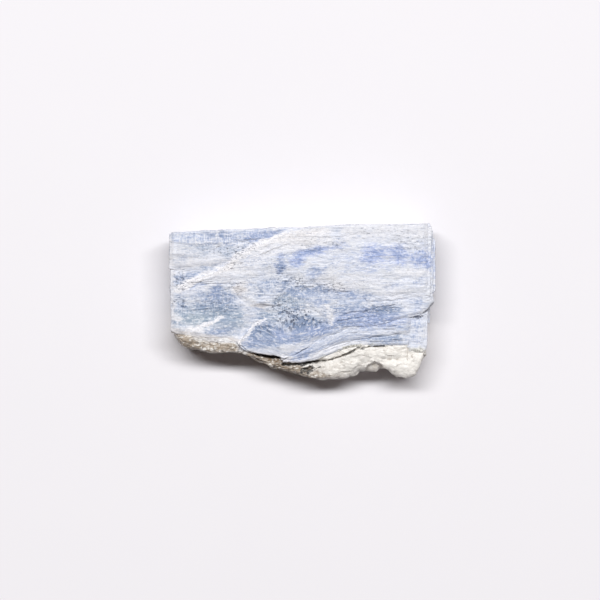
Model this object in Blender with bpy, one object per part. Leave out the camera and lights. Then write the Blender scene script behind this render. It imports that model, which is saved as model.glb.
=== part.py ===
"""Kyanite blade cluster: flat blades of blue and white kyanite grown side by side, on a wedge of quartz.

Row frame: +Z up, +X along the blades, +Y towards the straight back edge. The origin is the centre of
the flat base, so the specimen rests on Z = 0. Lengths in this file are millimetres, and `new_object`
turns each mesh into Blender's metres.
"""

import bpy
import numpy as np

MM = 0.001

# Driving dimensions of the specimen.
LEFT_END, RIGHT_END = -33.0, 32.6  # where the blades break off, along X
BACK_LEFT, BACK_RIGHT = 17.2, 19.5  # Y of the straight back edge at its two ends
BODY_TOP = 10.2  # top of the blades that carry the rest
GAP = 0.3  # clear space between the kyanite and the quartz
DRAFT = 0.18  # how far a blade's top edge stands in from its lower edge

# The blades of the body, from the base up: share of the body's height at its top, how far its back,
# left and right edges stand in from the driving dimensions, and Y of its hidden front edge.
BODY_BLADES = (
    (0.16, 1.7, 2.3, 2.9, -3.0),
    (0.32, 0.6, 0.9, 1.3, -3.8),
    (0.49, 1.2, 1.5, 2.0, -4.6),
    (0.65, 0.1, 0.3, 0.5, -5.4),
    (0.82, 0.8, 0.8, 1.2, -6.2),
)
BODY_OVERLAP = 0.15  # how far each blade sinks into the one below it

# Front edge of the top blade of the body, left to right, where it shows above the quartz.
SHOWN_FRONT = (
    (-32.6, -7.2), (-30.4, -8.5), (-28.1, -8.7), (-25.5, -9.1), (-23.0, -9.9), (-17.8, -10.1),
    (-16.2, -10.9), (-14.9, -12.3), (-10.2, -13.1), (-5.5, -13.6), (-4.9, -14.9), (-0.6, -15.2),
    (3.8, -14.3), (8.0, -12.6), (12.0, -11.5), (16.0, -11.0), (22.0, -10.9), (26.6, -10.8),
    (27.3, -12.5), (30.4, -12.6),
)
SHOWN_LEFT = (-33.2, 4.0)
SHOWN_RIGHT = (
    (30.4, -12.6), (31.3, -11.0), (31.4, -2.2), (32.9, 0.2), (32.4, 1.6), (33.3, 3.0), (33.3, 15.4),
    (32.2, 16.6), (32.0, 19.5),
)

# The thin blades and ledges on top of the body: name, levels of the lower and upper face, slope of
# the upper face along X and Y, back edge and front edge, both left to right.
PLATES = (
    ("blue_face", 9.9, 11.35, 0.0, 0.006,
     ((-32.1, 11.0), (-24.0, 10.0), (-10.0, 9.5), (0.0, 8.0), (12.0, 6.5), (31.9, 5.0)),
     ((-31.8, -7.4), (-30.5, -8.3), (-28.1, -8.5), (-25.6, -8.9), (-23.1, -9.7), (-19.4, -9.8),
      (-16.4, -10.1), (-15.2, -11.6), (-13.2, -12.6), (-10.1, -13.0), (-5.6, -13.4), (-4.4, -13.7),
      (-1.9, -12.0), (1.9, -10.1), (6.9, -8.2), (10.6, -7.2), (16.9, -6.1), (23.1, -4.7),
      (27.6, -3.8), (29.2, -3.5), (31.2, -1.9), (32.8, -0.2))),
    ("upper_ledge", 9.8, 10.95, 0.0, 0.006,
     ((-6.0, -11.0), (0.0, -7.0), (27.3, -2.0)),
     ((-5.2, -14.4), (-3.1, -14.6), (0.6, -13.6), (5.6, -11.8), (10.6, -10.1), (16.4, -9.1),
      (21.9, -8.2), (27.0, -7.8))),
    ("lower_ledge", 9.7, 10.6, 0.0, 0.0,
     ((-5.4, -12.0), (0.0, -9.0), (26.9, -4.0)),
     ((-5.0, -15.0), (-0.6, -15.3), (3.9, -14.3), (8.1, -12.7), (11.9, -11.5), (15.9, -10.9),
      (20.6, -10.8), (26.5, -10.6))),
    ("corner_block", 9.6, 10.45, 0.0, 0.0,
     ((27.3, -2.6), (31.2, -1.4)),
     ((27.4, -12.3), (30.3, -12.4))),
    ("end_step_low", 9.75, 10.85, 0.0, 0.0,
     ((29.5, 17.6), (32.6, 17.8)),
     ((29.5, 1.4), (32.6, 1.9))),
    ("end_step_high", 9.85, 11.5, 0.0, 0.0,
     ((29.0, 18.4), (32.0, 18.6)),
     ((29.0, 1.0), (31.9, 1.2))),
    ("left_back", 9.95, 11.85, 0.0, 0.0,
     ((-32.4, 16.9), (-24.4, 17.8), (-15.6, 18.1), (-6.9, 18.4), (2.0, 18.6)),
     ((-32.5, 8.3), (-29.9, 7.5), (-26.1, 8.1), (-23.1, 8.5), (-20.1, 9.0), (-15.6, 10.0),
      (-8.1, 11.9), (-2.0, 15.0), (2.0, 17.6))),
    ("crest", 9.87, 12.05, 0.0, 0.045,
     ((-29.7, 4.1), (-26.6, 5.9), (-22.6, 7.1), (-19.6, 8.9), (-16.1, 11.5), (-12.6, 13.5),
      (-8.6, 15.0), (-4.6, 17.0), (-1.1, 18.3), (6.9, 18.9), (15.6, 19.2), (25.6, 19.3),
      (31.2, 19.3)),
     ((-30.1, 2.9), (-25.1, 4.5), (-21.9, 4.6), (-15.6, 4.3), (-8.6, 5.1), (-4.1, 6.1),
      (-1.1, 5.3), (0.6, 3.8), (2.6, 3.6), (4.9, 4.3), (7.1, 4.6), (8.1, 2.4), (12.4, 2.7),
      (14.9, 1.7), (16.1, 0.3), (20.6, 0.2), (25.6, 0.7), (31.6, 0.9))),
    ("pale_patch", 10.3, 11.62, -0.008, 0.0,
     ((-17.5, 5.2), (-10.0, 6.2), (-3.0, 7.2)),
     ((-17.5, 3.8), (-15.4, 0.4), (-12.4, -1.1), (-7.6, -1.5), (-5.2, 0.6), (-3.0, 5.0))),
    ("middle_patch", 10.4, 11.6, 0.0, 0.0,
     ((0.1, 0.9), (4.4, 1.5), (8.6, 0.9)),
     ((0.1, -2.1), (2.4, -3.1), (4.9, -4.1), (6.4, -5.8), (7.6, -4.8), (8.6, -3.0))),
    ("toe_ledge", 10.35, 11.5, -0.010, 0.008,
     ((-27.8, -7.6), (-25.6, -6.4), (-23.1, -5.2), (-20.0, -3.8), (-17.6, -5.6)),
     ((-27.8, -8.0), (-24.4, -8.9), (-20.4, -9.3), (-17.6, -9.0))),
    ("belly_ledge", 10.25, 11.75, -0.030, 0.012,
     ((-15.7, -10.3), (-14.1, -8.0), (-11.6, -6.0), (-8.6, -4.3), (-4.4, -3.6), (0.2, -5.0),
      (5.6, -8.6)),
     ((-15.7, -10.6), (-13.3, -12.3), (-10.1, -12.9), (-5.8, -13.4), (-4.6, -14.2), (-1.9, -13.0),
      (2.2, -11.0), (5.6, -9.2))),
)

# Slivers of blade that stand up along the ledges: X and Y of the middle, level, length and slope.
SLIVERS = (
    (-24.0, 5.9, 11.87, 8.0, 0.30), (-15.0, 9.4, 12.02, 9.0, 0.42), (-6.5, 13.6, 12.21, 10.0, 0.40),
    (6.0, 16.6, 12.35, 13.0, 0.04), (17.0, 11.5, 12.12, 12.0, 0.0), (23.0, 4.2, 11.79, 14.0, -0.02),
    (14.0, 7.4, 11.93, 9.0, 0.02), (-22.0, 14.6, 11.85, 12.0, 0.03), (-13.0, 15.6, 11.85, 9.0, 0.04),
    (-24.0, -1.6, 11.35, 10.0, 0.05), (-9.0, 1.9, 11.6, 7.0, -0.05), (13.5, -2.4, 11.35, 11.0, 0.05),
    (21.0, -1.6, 11.35, 10.0, 0.06), (17.5, -4.4, 11.3, 12.0, 0.13), (-10.5, -9.6, 11.6, 8.0, 0.22),
    (2.5, -11.9, 10.95, 9.0, 0.36), (20.5, -6.6, 10.95, 8.0, 0.06), (21.5, -9.6, 10.6, 8.0, 0.02),
)
# Outline of a sliver, in shares of its length and width.
SLIVER_OUTLINE = ((-0.5, 0.1), (-0.28, -0.5), (0.2, -0.44), (0.5, -0.1), (0.24, 0.5), (-0.2, 0.38))
SLIVER_WIDTH, SLIVER_SINK = 0.9, 0.5
SLIVER_RISES = (0.13, 0.18, 0.22)

# The quartz: where it is widest, seen from above, left to right.
QUARTZ_FRONT = (
    (-32.4, -7.6), (-31.6, -8.9), (-29.9, -10.8), (-28.1, -11.8), (-25.6, -12.4), (-22.6, -12.8),
    (-19.4, -12.7), (-15.6, -12.8), (-13.6, -13.6), (-11.6, -14.6), (-9.6, -15.6), (-8.1, -16.6),
    (-5.1, -17.2), (-2.6, -17.8), (-0.6, -18.6), (1.9, -19.3), (4.9, -19.5), (8.1, -19.3),
    (10.6, -18.9), (12.6, -18.2), (13.9, -17.3), (15.4, -17.1), (16.9, -17.6), (18.4, -17.4),
    (19.4, -16.3), (20.4, -16.1), (21.4, -16.8), (22.6, -18.3), (24.4, -19.2), (26.1, -19.3),
    (27.6, -18.6), (28.9, -17.1), (29.6, -15.1), (30.2, -13.3),
)
# (X, Z): how high the quartz stands against the blades, and how high it is widest.
QUARTZ_LIP = (
    (-32.4, 9.8), (-29.0, 10.8), (-20.0, 10.9), (-16.5, 10.6), (-15.0, 9.9), (-5.0, 9.6), (5.0, 9.7),
    (10.0, 10.0), (20.0, 10.2), (27.0, 10.0), (30.2, 9.3),
)
QUARTZ_WAIST = ((-32.4, 6.6), (-15.0, 6.0), (-6.0, 5.4), (6.0, 5.6), (18.0, 6.2), (30.2, 6.0))
QUARTZ_UNDERCUT = 2.6  # how far the base stands in from the widest line
LEAST_WALL, LEAST_FOOT = 0.1, 1.0  # least width of the quartz at its top and on its base
LIP_DEPTH = 0.4  # height of the quartz's edge along the blades
QUARTZ_STATION = 1.05  # spacing of the loops along X
UNDERCUT_ROWS, CROWN_ROWS = 5, 10
SHOULDER = 0.667  # 1 for a crown of round section, less for one that stays high out to its edge
UNDERCUT_BEND = 1.7  # 1 for a straight slope under the widest line, more for a rounder one
# The two smaller loops that round off each end: size, and how far they stand out along X.
END_RINGS = ((0.75, 0.35), (0.35, 0.55))
# Hollows broken out of the quartz: X, Y, radius and depth.
QUARTZ_PITS = ((17.9, -16.6, 2.2, 1.6), (1.3, -17.2, 1.5, 0.9), (-27.0, -11.0, 1.6, 0.4))
# Size, height and seed of each set of lumps, parted by sharp valleys.
QUARTZ_LUMPS = ((6.0, 1.3, 11), (2.6, 0.6, 12))
LUMP_LEVEL = 0.4  # the value of a lump's noise that leaves the surface where it is
LUMP_FADE = 1.3  # the lumps fade out this near to the blades and to the base

OUTLINE_STEP = 2.0  # longest straight run on a blade's outline
OUTLINE_JOIN = 0.25  # points nearer than this become one
# The teeth of the broken edges, coarse and fine: their size and their reach, along X and along Y.
SPLINTERS = ((3.6, 1.7, 0.30, 0.22), (1.5, 0.8, 0.16, 0.12))
BODY_SEED, SHOWN_SEED, PLATE_SEED = 20, 30, 40


def lattice(cell, seed):
    """A fixed number from -1 to 1 for each whole-number lattice point."""
    mixed = cell.astype(np.int64) @ np.array([73856093, 19349663, 83492791]) + seed * 2654435761
    for shift in (15, 13):
        mixed = ((mixed ^ (mixed >> shift)) & 0xFFFFFFFF) * 0x5BD1E995 & 0xFFFFFFFF
    return (mixed ^ (mixed >> 16)) / 0x7FFFFFFF - 1.0


def noise(points, size, seed):
    """Smooth noise from -1 to 1: lattice numbers on cells of `size`, joined by a quintic blend."""
    scaled = points / np.asarray(size, float)
    cell = np.floor(scaled)
    part = scaled - cell
    blend = part**3 * (part * (part * 6 - 15) + 10)
    total = np.zeros(len(points))
    for corner in np.ndindex(2, 2, 2):
        weight = np.prod(np.where(corner, blend, 1 - blend), axis=-1)
        total += weight * lattice(cell + corner, seed)
    return total


def subdivided(line):
    """The line with its corners kept and its runs cut to at most OUTLINE_STEP."""
    points = []
    for start, end in zip(np.array(line[:-1], float), np.array(line[1:], float)):
        runs = max(1, int(np.ceil(np.hypot(*(end - start)) / OUTLINE_STEP)))
        points += [start + (end - start) * share for share in np.arange(runs) / runs]
    return points + [np.array(line[-1], float)]


def outline_of(back, front, left=None, right=None):
    """The closed outline of a blade, counter-clockwise, from its four edges."""
    right = right or (front[-1], back[-1])
    left = left or (front[0], back[0])
    edges = [front, right, back[::-1], left[::-1]]
    points = [p for edge in edges for p in subdivided(edge)[:-1]]
    kept = [p for p, q in zip(points, points[1:] + points[:1]) if np.hypot(*(q - p)) > OUTLINE_JOIN]
    return np.array(kept)


def splintered(outline, seed):
    """The outline with the small steps and teeth that a broken blade has, longer along X."""
    points = np.column_stack([outline, np.full(len(outline), 0.5)])
    moved = outline.copy()
    for n, (cell_x, cell_y, reach_x, reach_y) in enumerate(SPLINTERS):
        size = (cell_x, cell_y, 1.0)
        moved[:, 0] += reach_x * noise(points, size, seed + 7 * n)
        moved[:, 1] += reach_y * noise(points, size, seed + 7 * n + 3)
    return moved


def grown(outline, distance):
    """The outline moved outwards by `distance`, along the mean of its neighbouring runs' normals."""
    ahead = np.roll(outline, -1, axis=0) - outline
    behind = outline - np.roll(outline, 1, axis=0)
    along = ahead / np.hypot(*ahead.T)[:, None] + behind / np.hypot(*behind.T)[:, None]
    along /= np.maximum(np.hypot(*along.T), 0.3)[:, None]
    return outline + distance * np.column_stack([along[:, 1], -along[:, 0]])


def blade_mesh(name, outline, low, high, slope=(0.0, 0.0)):
    """A flat blade: its outline raised from `low` to a top at `high`, which slopes along X and Y.

    The slope pivots on the middle of the outline, and the top edge stands in by DRAFT.
    """
    upper = grown(outline, -DRAFT)
    top = high + (upper - outline.mean(axis=0)) @ np.array(slope)
    count = len(outline)
    points = np.vstack([
        np.column_stack([outline, np.full(count, low)]),
        np.column_stack([upper, top]),
    ])
    ring = np.arange(count)
    after = np.roll(ring, -1)
    sides = np.column_stack([ring, after, after + count, ring + count])
    faces = [ring[::-1].tolist(), (ring + count).tolist()] + sides.tolist()
    return new_object(name, points, faces)


def new_object(name, points, faces):
    """A mesh object in metres, from points in millimetres."""
    mesh = bpy.data.meshes.new(name)
    mesh.from_pydata((points * MM).tolist(), [], faces)
    obj = bpy.data.objects.new(name, mesh)
    bpy.context.scene.collection.objects.link(obj)
    return obj


def join(obj, helper):
    """Joins the helper's shape to `obj` with a Boolean, and keeps the helper out of sight."""
    helper.hide_render = True
    helper.display_type = "WIRE"
    modifier = obj.modifiers.new(helper.name, "BOOLEAN")
    modifier.operation = "UNION"
    modifier.solver = "EXACT"
    modifier.object = helper


def body_outline(back_inset, left_inset, right_inset, front, seed):
    """A blade of the body: straight edges at its insets, and broken ends that lean a little."""
    left = LEFT_END + left_inset
    right = RIGHT_END - right_inset
    lean = lattice(np.zeros(3), seed)
    back = ((left, BACK_LEFT - back_inset), (right, BACK_RIGHT - back_inset))
    front_edge = ((left + lean, front), (right + lean, front))
    return outline_of(back, front_edge)


def body_blades():
    """The blades that carry the rest, from the base up, each broken off at its own length."""
    blades = []
    low = 0.0
    for n, (share, back, left, right, front) in enumerate(BODY_BLADES):
        seed = BODY_SEED + n
        outline = splintered(body_outline(back, left, right, front, seed), seed)
        high = share * BODY_TOP
        blades.append(blade_mesh(f"body_blade_{n + 1}", outline, low, high))
        low = high - BODY_OVERLAP
    return blades


def top_body_outline():
    """The top blade of the body, the one whose front edge shows above the quartz."""
    back = ((LEFT_END, BACK_LEFT), (SHOWN_RIGHT[-1][0], BACK_RIGHT))
    left = (SHOWN_FRONT[0], SHOWN_LEFT, back[0])
    return splintered(outline_of(back, SHOWN_FRONT, left, SHOWN_RIGHT), SHOWN_SEED)


def top_body_levels():
    """Lower and upper level of the top blade of the body."""
    return BODY_BLADES[-1][0] * BODY_TOP - BODY_OVERLAP, BODY_TOP


def plate_outlines():
    """The outlines of the thin blades and ledges, in the order of PLATES."""
    return [
        splintered(outline_of(back, front), PLATE_SEED + n)
        for n, (*_, back, front) in enumerate(PLATES)
    ]


def plate_blades():
    """The thin blades and ledges on top of the body."""
    return [
        blade_mesh(name, outline, low, high, (slope_x, slope_y))
        for (name, low, high, slope_x, slope_y, _, _), outline in zip(PLATES, plate_outlines())
    ]


def sliver_blades():
    """Slivers along the ledges: long six-sided plates with pointed ends."""
    blades = []
    for n, (x, y, level, length, slope) in enumerate(SLIVERS):
        along, across = np.array(SLIVER_OUTLINE).T * [[length], [SLIVER_WIDTH]]
        outline = np.column_stack([x + along, y + across + slope * along])
        high = level + SLIVER_RISES[n % len(SLIVER_RISES)]
        blades.append(blade_mesh(f"sliver_{n + 1}", outline, level - SLIVER_SINK, high))
    return blades


def kyanite():
    """All the blades, grown into one solid."""
    body = blade_mesh("kyanite_blades", top_body_outline(), *top_body_levels())
    for blade in body_blades() + plate_blades() + sliver_blades():
        join(body, blade)
    return body


def shown_edge(outlines, x):
    """Y of the blades' front edge near `x`: the least Y of their outlines within one station."""
    shares = np.linspace(0, 1, 12)[:, None, None]
    points = np.vstack([
        (outline + (np.roll(outline, -1, axis=0) - outline) * shares).reshape(-1, 2)
        for outline in outlines
    ])
    return points[np.abs(points[:, 0] - x) < QUARTZ_STATION, 1].min()


def quartz_loop(x, edge):
    """One loop of the quartz at `x`, as (X, Y, Z), and the share of the lumps each point takes.

    It leaves the base, goes round the undercut to the widest line and over the crown to the edge of
    the blades, and comes back down the steps under them.
    """
    widest, lip, waist = (
        np.interp(x, *np.array(line).T) for line in (QUARTZ_FRONT, QUARTZ_LIP, QUARTZ_WAIST)
    )
    clearance = GAP + sum(reach_y for _, _, _, reach_y in SPLINTERS)
    fronts = [front - clearance for _, _, _, _, front in BODY_BLADES]
    floors = [share * BODY_TOP - BODY_OVERLAP - GAP for share, _, _, _, _ in BODY_BLADES]
    inside = min(edge - GAP, fronts[-1] - LEAST_WALL)
    foot = min(widest + QUARTZ_UNDERCUT, fronts[0] - LEAST_FOOT)

    rise = np.linspace(0, 1, UNDERCUT_ROWS + 1)[:-1]
    under = np.column_stack([widest + (foot - widest) * (1 - rise) ** UNDERCUT_BEND, waist * rise])
    turn = np.linspace(0, np.pi / 2, CROWN_ROWS)
    crown = np.column_stack([
        widest + (inside - widest) * (1 - np.cos(turn) ** SHOULDER),
        waist + (lip - waist) * np.sin(turn) ** SHOULDER,
    ])
    steps = [(inside, min(floors[-1], lip - LIP_DEPTH))]
    for front, floor, lower in zip(fronts[::-1], floors[::-1], [*floors[-2::-1], 0.0]):
        steps += [(front, min(floor, lip - LIP_DEPTH)), (front, lower)]
    base = [((fronts[0] + foot) / 2, 0.0)]

    shown = np.vstack([under, crown])
    depth = np.clip((inside - shown[:, 0]) / LUMP_FADE, 0, 1) * np.clip(shown[:, 1] / LUMP_FADE, 0, 1)
    profile = np.vstack([shown, steps, base])
    lumps = np.concatenate([depth, np.zeros(len(steps) + len(base))])
    return np.column_stack([np.full(len(profile), x), profile]), lumps


def end_rings(ring, side):
    """The smaller loops that close one end of the quartz, outermost last, drawn in to its widest line."""
    middle = ring[UNDERCUT_ROWS]
    return [middle + (ring - middle) * size + (side * reach, 0, 0) for size, reach in END_RINGS]


def lumpy(grid, share):
    """The loops with the lumps and pits of broken quartz, moved along the surface's normals."""
    normal = np.cross(np.gradient(grid, axis=0), np.roll(grid, -1, axis=1) - np.roll(grid, 1, axis=1))
    normal /= np.linalg.norm(normal, axis=2, keepdims=True)
    points = grid.reshape(-1, 3)
    height = sum(
        rise * (np.abs(noise(points, size, seed)) - LUMP_LEVEL) for size, rise, seed in QUARTZ_LUMPS
    )
    moved = grid + normal * (height.reshape(share.shape) * share)[:, :, None]
    for x, y, radius, depth in QUARTZ_PITS:
        away = np.hypot(grid[:, :, 0] - x, grid[:, :, 1] - y) / radius
        hollow = np.clip(1 - away**2, 0, 1) ** 1.5
        moved[:, :, 2] -= depth * hollow * share * (normal[:, :, 2] > 0)
    return moved


def quartz():
    """The quartz: one closed skin of loops carried along X, in front of and under the blades."""
    outlines = [top_body_outline(), *plate_outlines()]
    left, right = QUARTZ_FRONT[0][0], QUARTZ_FRONT[-1][0]
    stations = np.linspace(left, right, round((right - left) / QUARTZ_STATION) + 1)
    loops, shares = zip(*(quartz_loop(x, shown_edge(outlines, x)) for x in stations))
    rings = lumpy(np.stack(loops), np.stack(shares))
    rings = [*end_rings(rings[0], -1)[::-1], *rings, *end_rings(rings[-1], 1)]

    size = len(rings[0])
    here = np.arange((len(rings) - 1) * size).reshape(-1, size)
    beside = np.roll(here, -1, axis=1)
    walls = np.stack([here, here + size, beside + size, beside], axis=2).reshape(-1, 4)
    last = np.arange(size) + (len(rings) - 1) * size
    faces = [*walls.tolist(), list(range(size)), last[::-1].tolist()]
    return new_object("quartz_matrix", np.vstack(rings), faces)


def finish(obj, name, color, roughness):
    """Gives the object its material."""
    material = bpy.data.materials.new(name)
    material.use_nodes = True
    shader = material.node_tree.nodes["Principled BSDF"]
    shader.inputs["Base Color"].default_value = (*color, 1.0)
    shader.inputs["Roughness"].default_value = roughness
    shader.inputs["Metallic"].default_value = 0.0
    obj.data.materials.append(material)


def main():
    """Builds the specimen: the intergrown blades and the quartz they grew on."""
    for obj in list(bpy.data.objects):
        bpy.data.objects.remove(obj, do_unlink=True)
    finish(kyanite(), "kyanite", (0.56, 0.60, 0.74), 0.42)
    finish(quartz(), "quartz", (0.66, 0.60, 0.53), 0.62)


main()
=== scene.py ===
# %% [markdown]
# # Kyanite blades on quartz
#
# Kyanite is a mineral that grows as long flat blades. It splits easily along the blades, so a broken
# specimen is a stack of thin leaves with stepped, splintery edges. It is blue where it is glassy and
# white where it is crushed. This one sits on a wedge of cream quartz with a sugary, broken skin.
#
# The script dresses the packed solids: each solid keeps its place and size, and fine surfaces are
# worked out over them with numpy. Lengths are millimetres until a mesh is made.

import bpy
import numpy as np
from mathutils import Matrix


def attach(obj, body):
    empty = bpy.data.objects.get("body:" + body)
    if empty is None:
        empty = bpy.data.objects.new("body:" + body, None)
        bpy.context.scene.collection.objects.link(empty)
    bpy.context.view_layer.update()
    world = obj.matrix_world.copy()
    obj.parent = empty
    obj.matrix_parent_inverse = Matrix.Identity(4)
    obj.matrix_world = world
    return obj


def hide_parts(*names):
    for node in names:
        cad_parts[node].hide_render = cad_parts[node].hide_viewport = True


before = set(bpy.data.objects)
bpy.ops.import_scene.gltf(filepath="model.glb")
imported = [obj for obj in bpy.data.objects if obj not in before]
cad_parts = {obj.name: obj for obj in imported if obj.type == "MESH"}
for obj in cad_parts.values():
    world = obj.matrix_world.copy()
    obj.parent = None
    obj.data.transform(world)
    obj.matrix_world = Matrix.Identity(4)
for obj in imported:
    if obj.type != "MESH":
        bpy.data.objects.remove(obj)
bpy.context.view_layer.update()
MM = 0.001


# %% [markdown]
# ## Noise
#
# Nature's unevenness is made from value noise: every point of a lattice has its own fixed number, and
# a smooth blend joins them. Stretching the lattice along X gives fibres, and rounding the noise to
# steps gives the terraces of a cleaved crystal. Numbers mixed from the lattice point and a seed come
# out the same on every run.

# %% Noise on whole arrays
LATTICE_PRIMES = np.array([73856093, 19349663, 83492791])
SEED_PRIME, MIXER = 2654435761, 0x5BD1E995
WORD, HALF_WORD = 0xFFFFFFFF, 0x7FFFFFFF
FLAT_LEVEL = 0.5  # where the solid noise is cut for noise over X and Y alone


def lattice(cell, seed):
    """A fixed number from -1 to 1 for each whole-number lattice point.

    The point's numbers and the seed are multiplied by primes and added up. Shifts and products
    then mix the bits, and the lowest 32 of them are kept.
    """
    mixed = cell.astype(np.int64) @ LATTICE_PRIMES + seed * SEED_PRIME
    for shift in (15, 13):
        mixed = ((mixed ^ (mixed >> shift)) & WORD) * MIXER & WORD
    return (mixed ^ (mixed >> 16)) / HALF_WORD - 1.0


def noise(points, size, seed):
    """Smooth noise from -1 to 1: lattice numbers on cells of `size`, joined by a quintic blend."""
    scaled = points / np.asarray(size, float)
    cell = np.floor(scaled)
    part = scaled - cell
    blend = part**3 * (part * (part * 6 - 15) + 10)
    total = np.zeros(len(points))
    for corner in np.ndindex(2, 2, 2):
        weight = np.prod(np.where(corner, blend, 1 - blend), axis=-1)
        total += weight * lattice(cell + corner, seed)
    return total


def flat_points(x, y):
    """Points over X and Y, all on one level, from arrays of any shape."""
    return np.stack([x.ravel(), y.ravel(), np.full(x.size, FLAT_LEVEL)], axis=1)


def layered(x, y, layers, seed):
    """A sum of noises over X and Y, each with its height and the length and width of its cells."""
    points = flat_points(x, y)
    total = sum(
        height * noise(points, (length, width, 1.0), seed + n)
        for n, (height, length, width) in enumerate(layers)
    )
    return total.reshape(x.shape)


def smooth_step(value):
    """0 below 0, 1 above 1, and a smooth rise between."""
    share = np.clip(value, 0.0, 1.0)
    return share * share * (3 - 2 * share)


def stepped(value, riser):
    """The value rounded to whole steps, with risers that take up `riser` of each step."""
    whole = np.floor(value)
    return whole + smooth_step((value - whole - 0.5) / riser + 0.5)


def fading(reached, run, over):
    """1 along a run, and a smooth fall to 0 over the given length at both its ends."""
    return smooth_step(reached / over) * smooth_step((run - reached) / over)


SAMPLE = np.linspace(-30, 30, 1000)  # a row of points for trying the helpers on
trial = layered(SAMPLE, SAMPLE, ((1.0, 2.7, 3.1),), 1)
print("noise runs from", round(trial.min(), 2), "to", round(trial.max(), 2))

# %% [markdown]
# ## Grains
#
# Crushed kyanite and broken quartz are both sugary: a mosaic of small facets, each tilted its own way.
# Each point takes the facet of the nearest grain, which is a plane through the grain's centre.

# %% Facets of packed grains
GRAIN_WANDER = 0.42  # how far a grain's centre strays from the middle of its cell, in cells
GRAIN_RISE = 0.3  # how far a grain stands out or in as a whole


def grains(points, size, seed, reach=(3, 3, 3)):
    """Height of the facet under each point, about -1 to 1.

    The height is the dot product of the grain's own tilt and the way from its centre, plus a rise
    of its own. `reach` is the block of cells that is searched for the nearest grain.
    """
    scaled = points / np.asarray(size, float)
    home = np.floor(scaled)
    nearest, height = np.full(len(points), np.inf), np.zeros(len(points))
    for corner in np.ndindex(*reach):
        cell = home + corner - np.array(reach) // 2
        shift, tilt = (
            np.stack([lattice(cell, seed + k) for k in ks], axis=1) for ks in ((1, 2, 3), (4, 5, 6))
        )
        away = scaled - cell - 0.5 - GRAIN_WANDER * shift
        distance = (away**2).sum(axis=1)
        closer = distance < nearest
        nearest = np.where(closer, distance, nearest)
        facet = (away * tilt).sum(axis=1) + GRAIN_RISE * lattice(cell, seed + 7)
        height = np.where(closer, facet, height)
    return height


def flat_grains(x, y, size_x, size_y, seed):
    """Grains over X and Y alone, for arrays of any shape."""
    return grains(flat_points(x, y), (size_x, size_y, 1.0), seed, reach=(3, 3, 1)).reshape(x.shape)


trial = flat_grains(SAMPLE, SAMPLE, 0.8, 0.5, 1)
print("grains run from", round(trial.min(), 2), "to", round(trial.max(), 2))

# %% [markdown]
# ## Lines
#
# Blade edges, cracks and bands are short lists of corners, in millimetres. The helpers place points
# evenly along a line, and measure how far each point of a surface lies from it.

# %% Points along a line, and distance to a line
def runs_of(line):
    """Length of each straight run of a line of corners."""
    return np.hypot(*np.diff(np.array(line, float), axis=0).T)


def evenly(line, count):
    """`count` points evenly spaced along the line."""
    corners = np.array(line, float)
    reached = np.concatenate([[0], np.cumsum(runs_of(line))])
    wanted = np.linspace(0, reached[-1], count)
    return np.column_stack([np.interp(wanted, reached, corners[:, k]) for k in (0, 1)])


def distance_to(line, x, y):
    """Distance from each point to the line, and the share of the line's length that is nearest."""
    corners, runs = np.array(line, float), runs_of(line)
    reached = np.concatenate([[0], np.cumsum(runs)])
    best, share = np.full(x.shape, np.inf), np.zeros(x.shape)
    for start, end, run, base in zip(corners[:-1], corners[1:], runs, reached):
        along_x, along_y = (end - start) / run
        t = np.clip((x - start[0]) * along_x + (y - start[1]) * along_y, 0, run)
        away = np.hypot(x - start[0] - t * along_x, y - start[1] - t * along_y)
        share = np.where(away < best, (base + t) / reached[-1], share)
        best = np.minimum(best, away)
    return best, share


def bell(away, half_width):
    """A bell-shaped share: 1 on the line, about a third at the half width, and 0 far from it."""
    return np.exp(-((away / half_width) ** 2))


print("a bell at its half width:", round(float(bell(1.0, 1.0)), 2))

# %% [markdown]
# ## The blades
#
# The tables repeat the solids' driving dimensions. Six thick blades carry the rest. The thin blades and
# ledges on top are what shows from above: each has its lower and upper level, the slope of its top,
# and a back and a front edge, both left to right.

# %% Dimensions of the blades
LEFT_END, RIGHT_END = -33.0, 32.6
BACK_LEFT, BACK_RIGHT = 17.2, 19.5
BODY_TOP, BODY_OVERLAP = 10.2, 0.15
DRAFT = 0.18  # how far a blade's top edge stands in from its lower edge

# Share of the body's height at a blade's top; insets of its back, left and right edges; front edge's Y.
BODY_BLADES = (
    (0.16, 1.7, 2.3, 2.9, -3.0),
    (0.32, 0.6, 0.9, 1.3, -3.8),
    (0.49, 1.2, 1.5, 2.0, -4.6),
    (0.65, 0.1, 0.3, 0.5, -5.4),
    (0.82, 0.8, 0.8, 1.2, -6.2),
)
# The outline of the sixth thick blade, which shows above the quartz.
SHOWN_FRONT = (
    (-32.6, -7.2), (-30.4, -8.5), (-28.1, -8.7), (-25.5, -9.1), (-23.0, -9.9), (-17.8, -10.1),
    (-16.2, -10.9), (-14.9, -12.3), (-10.2, -13.1), (-5.5, -13.6), (-4.9, -14.9), (-0.6, -15.2),
    (3.8, -14.3), (8.0, -12.6), (12.0, -11.5), (16.0, -11.0), (22.0, -10.9), (26.6, -10.8),
    (27.3, -12.5), (30.4, -12.6),
)
SHOWN_LEFT = (-33.2, 4.0)
SHOWN_RIGHT = (
    (30.4, -12.6), (31.3, -11.0), (31.4, -2.2), (32.9, 0.2), (32.4, 1.6), (33.3, 3.0), (33.3, 15.4),
    (32.2, 16.6), (32.0, 19.5),
)
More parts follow.
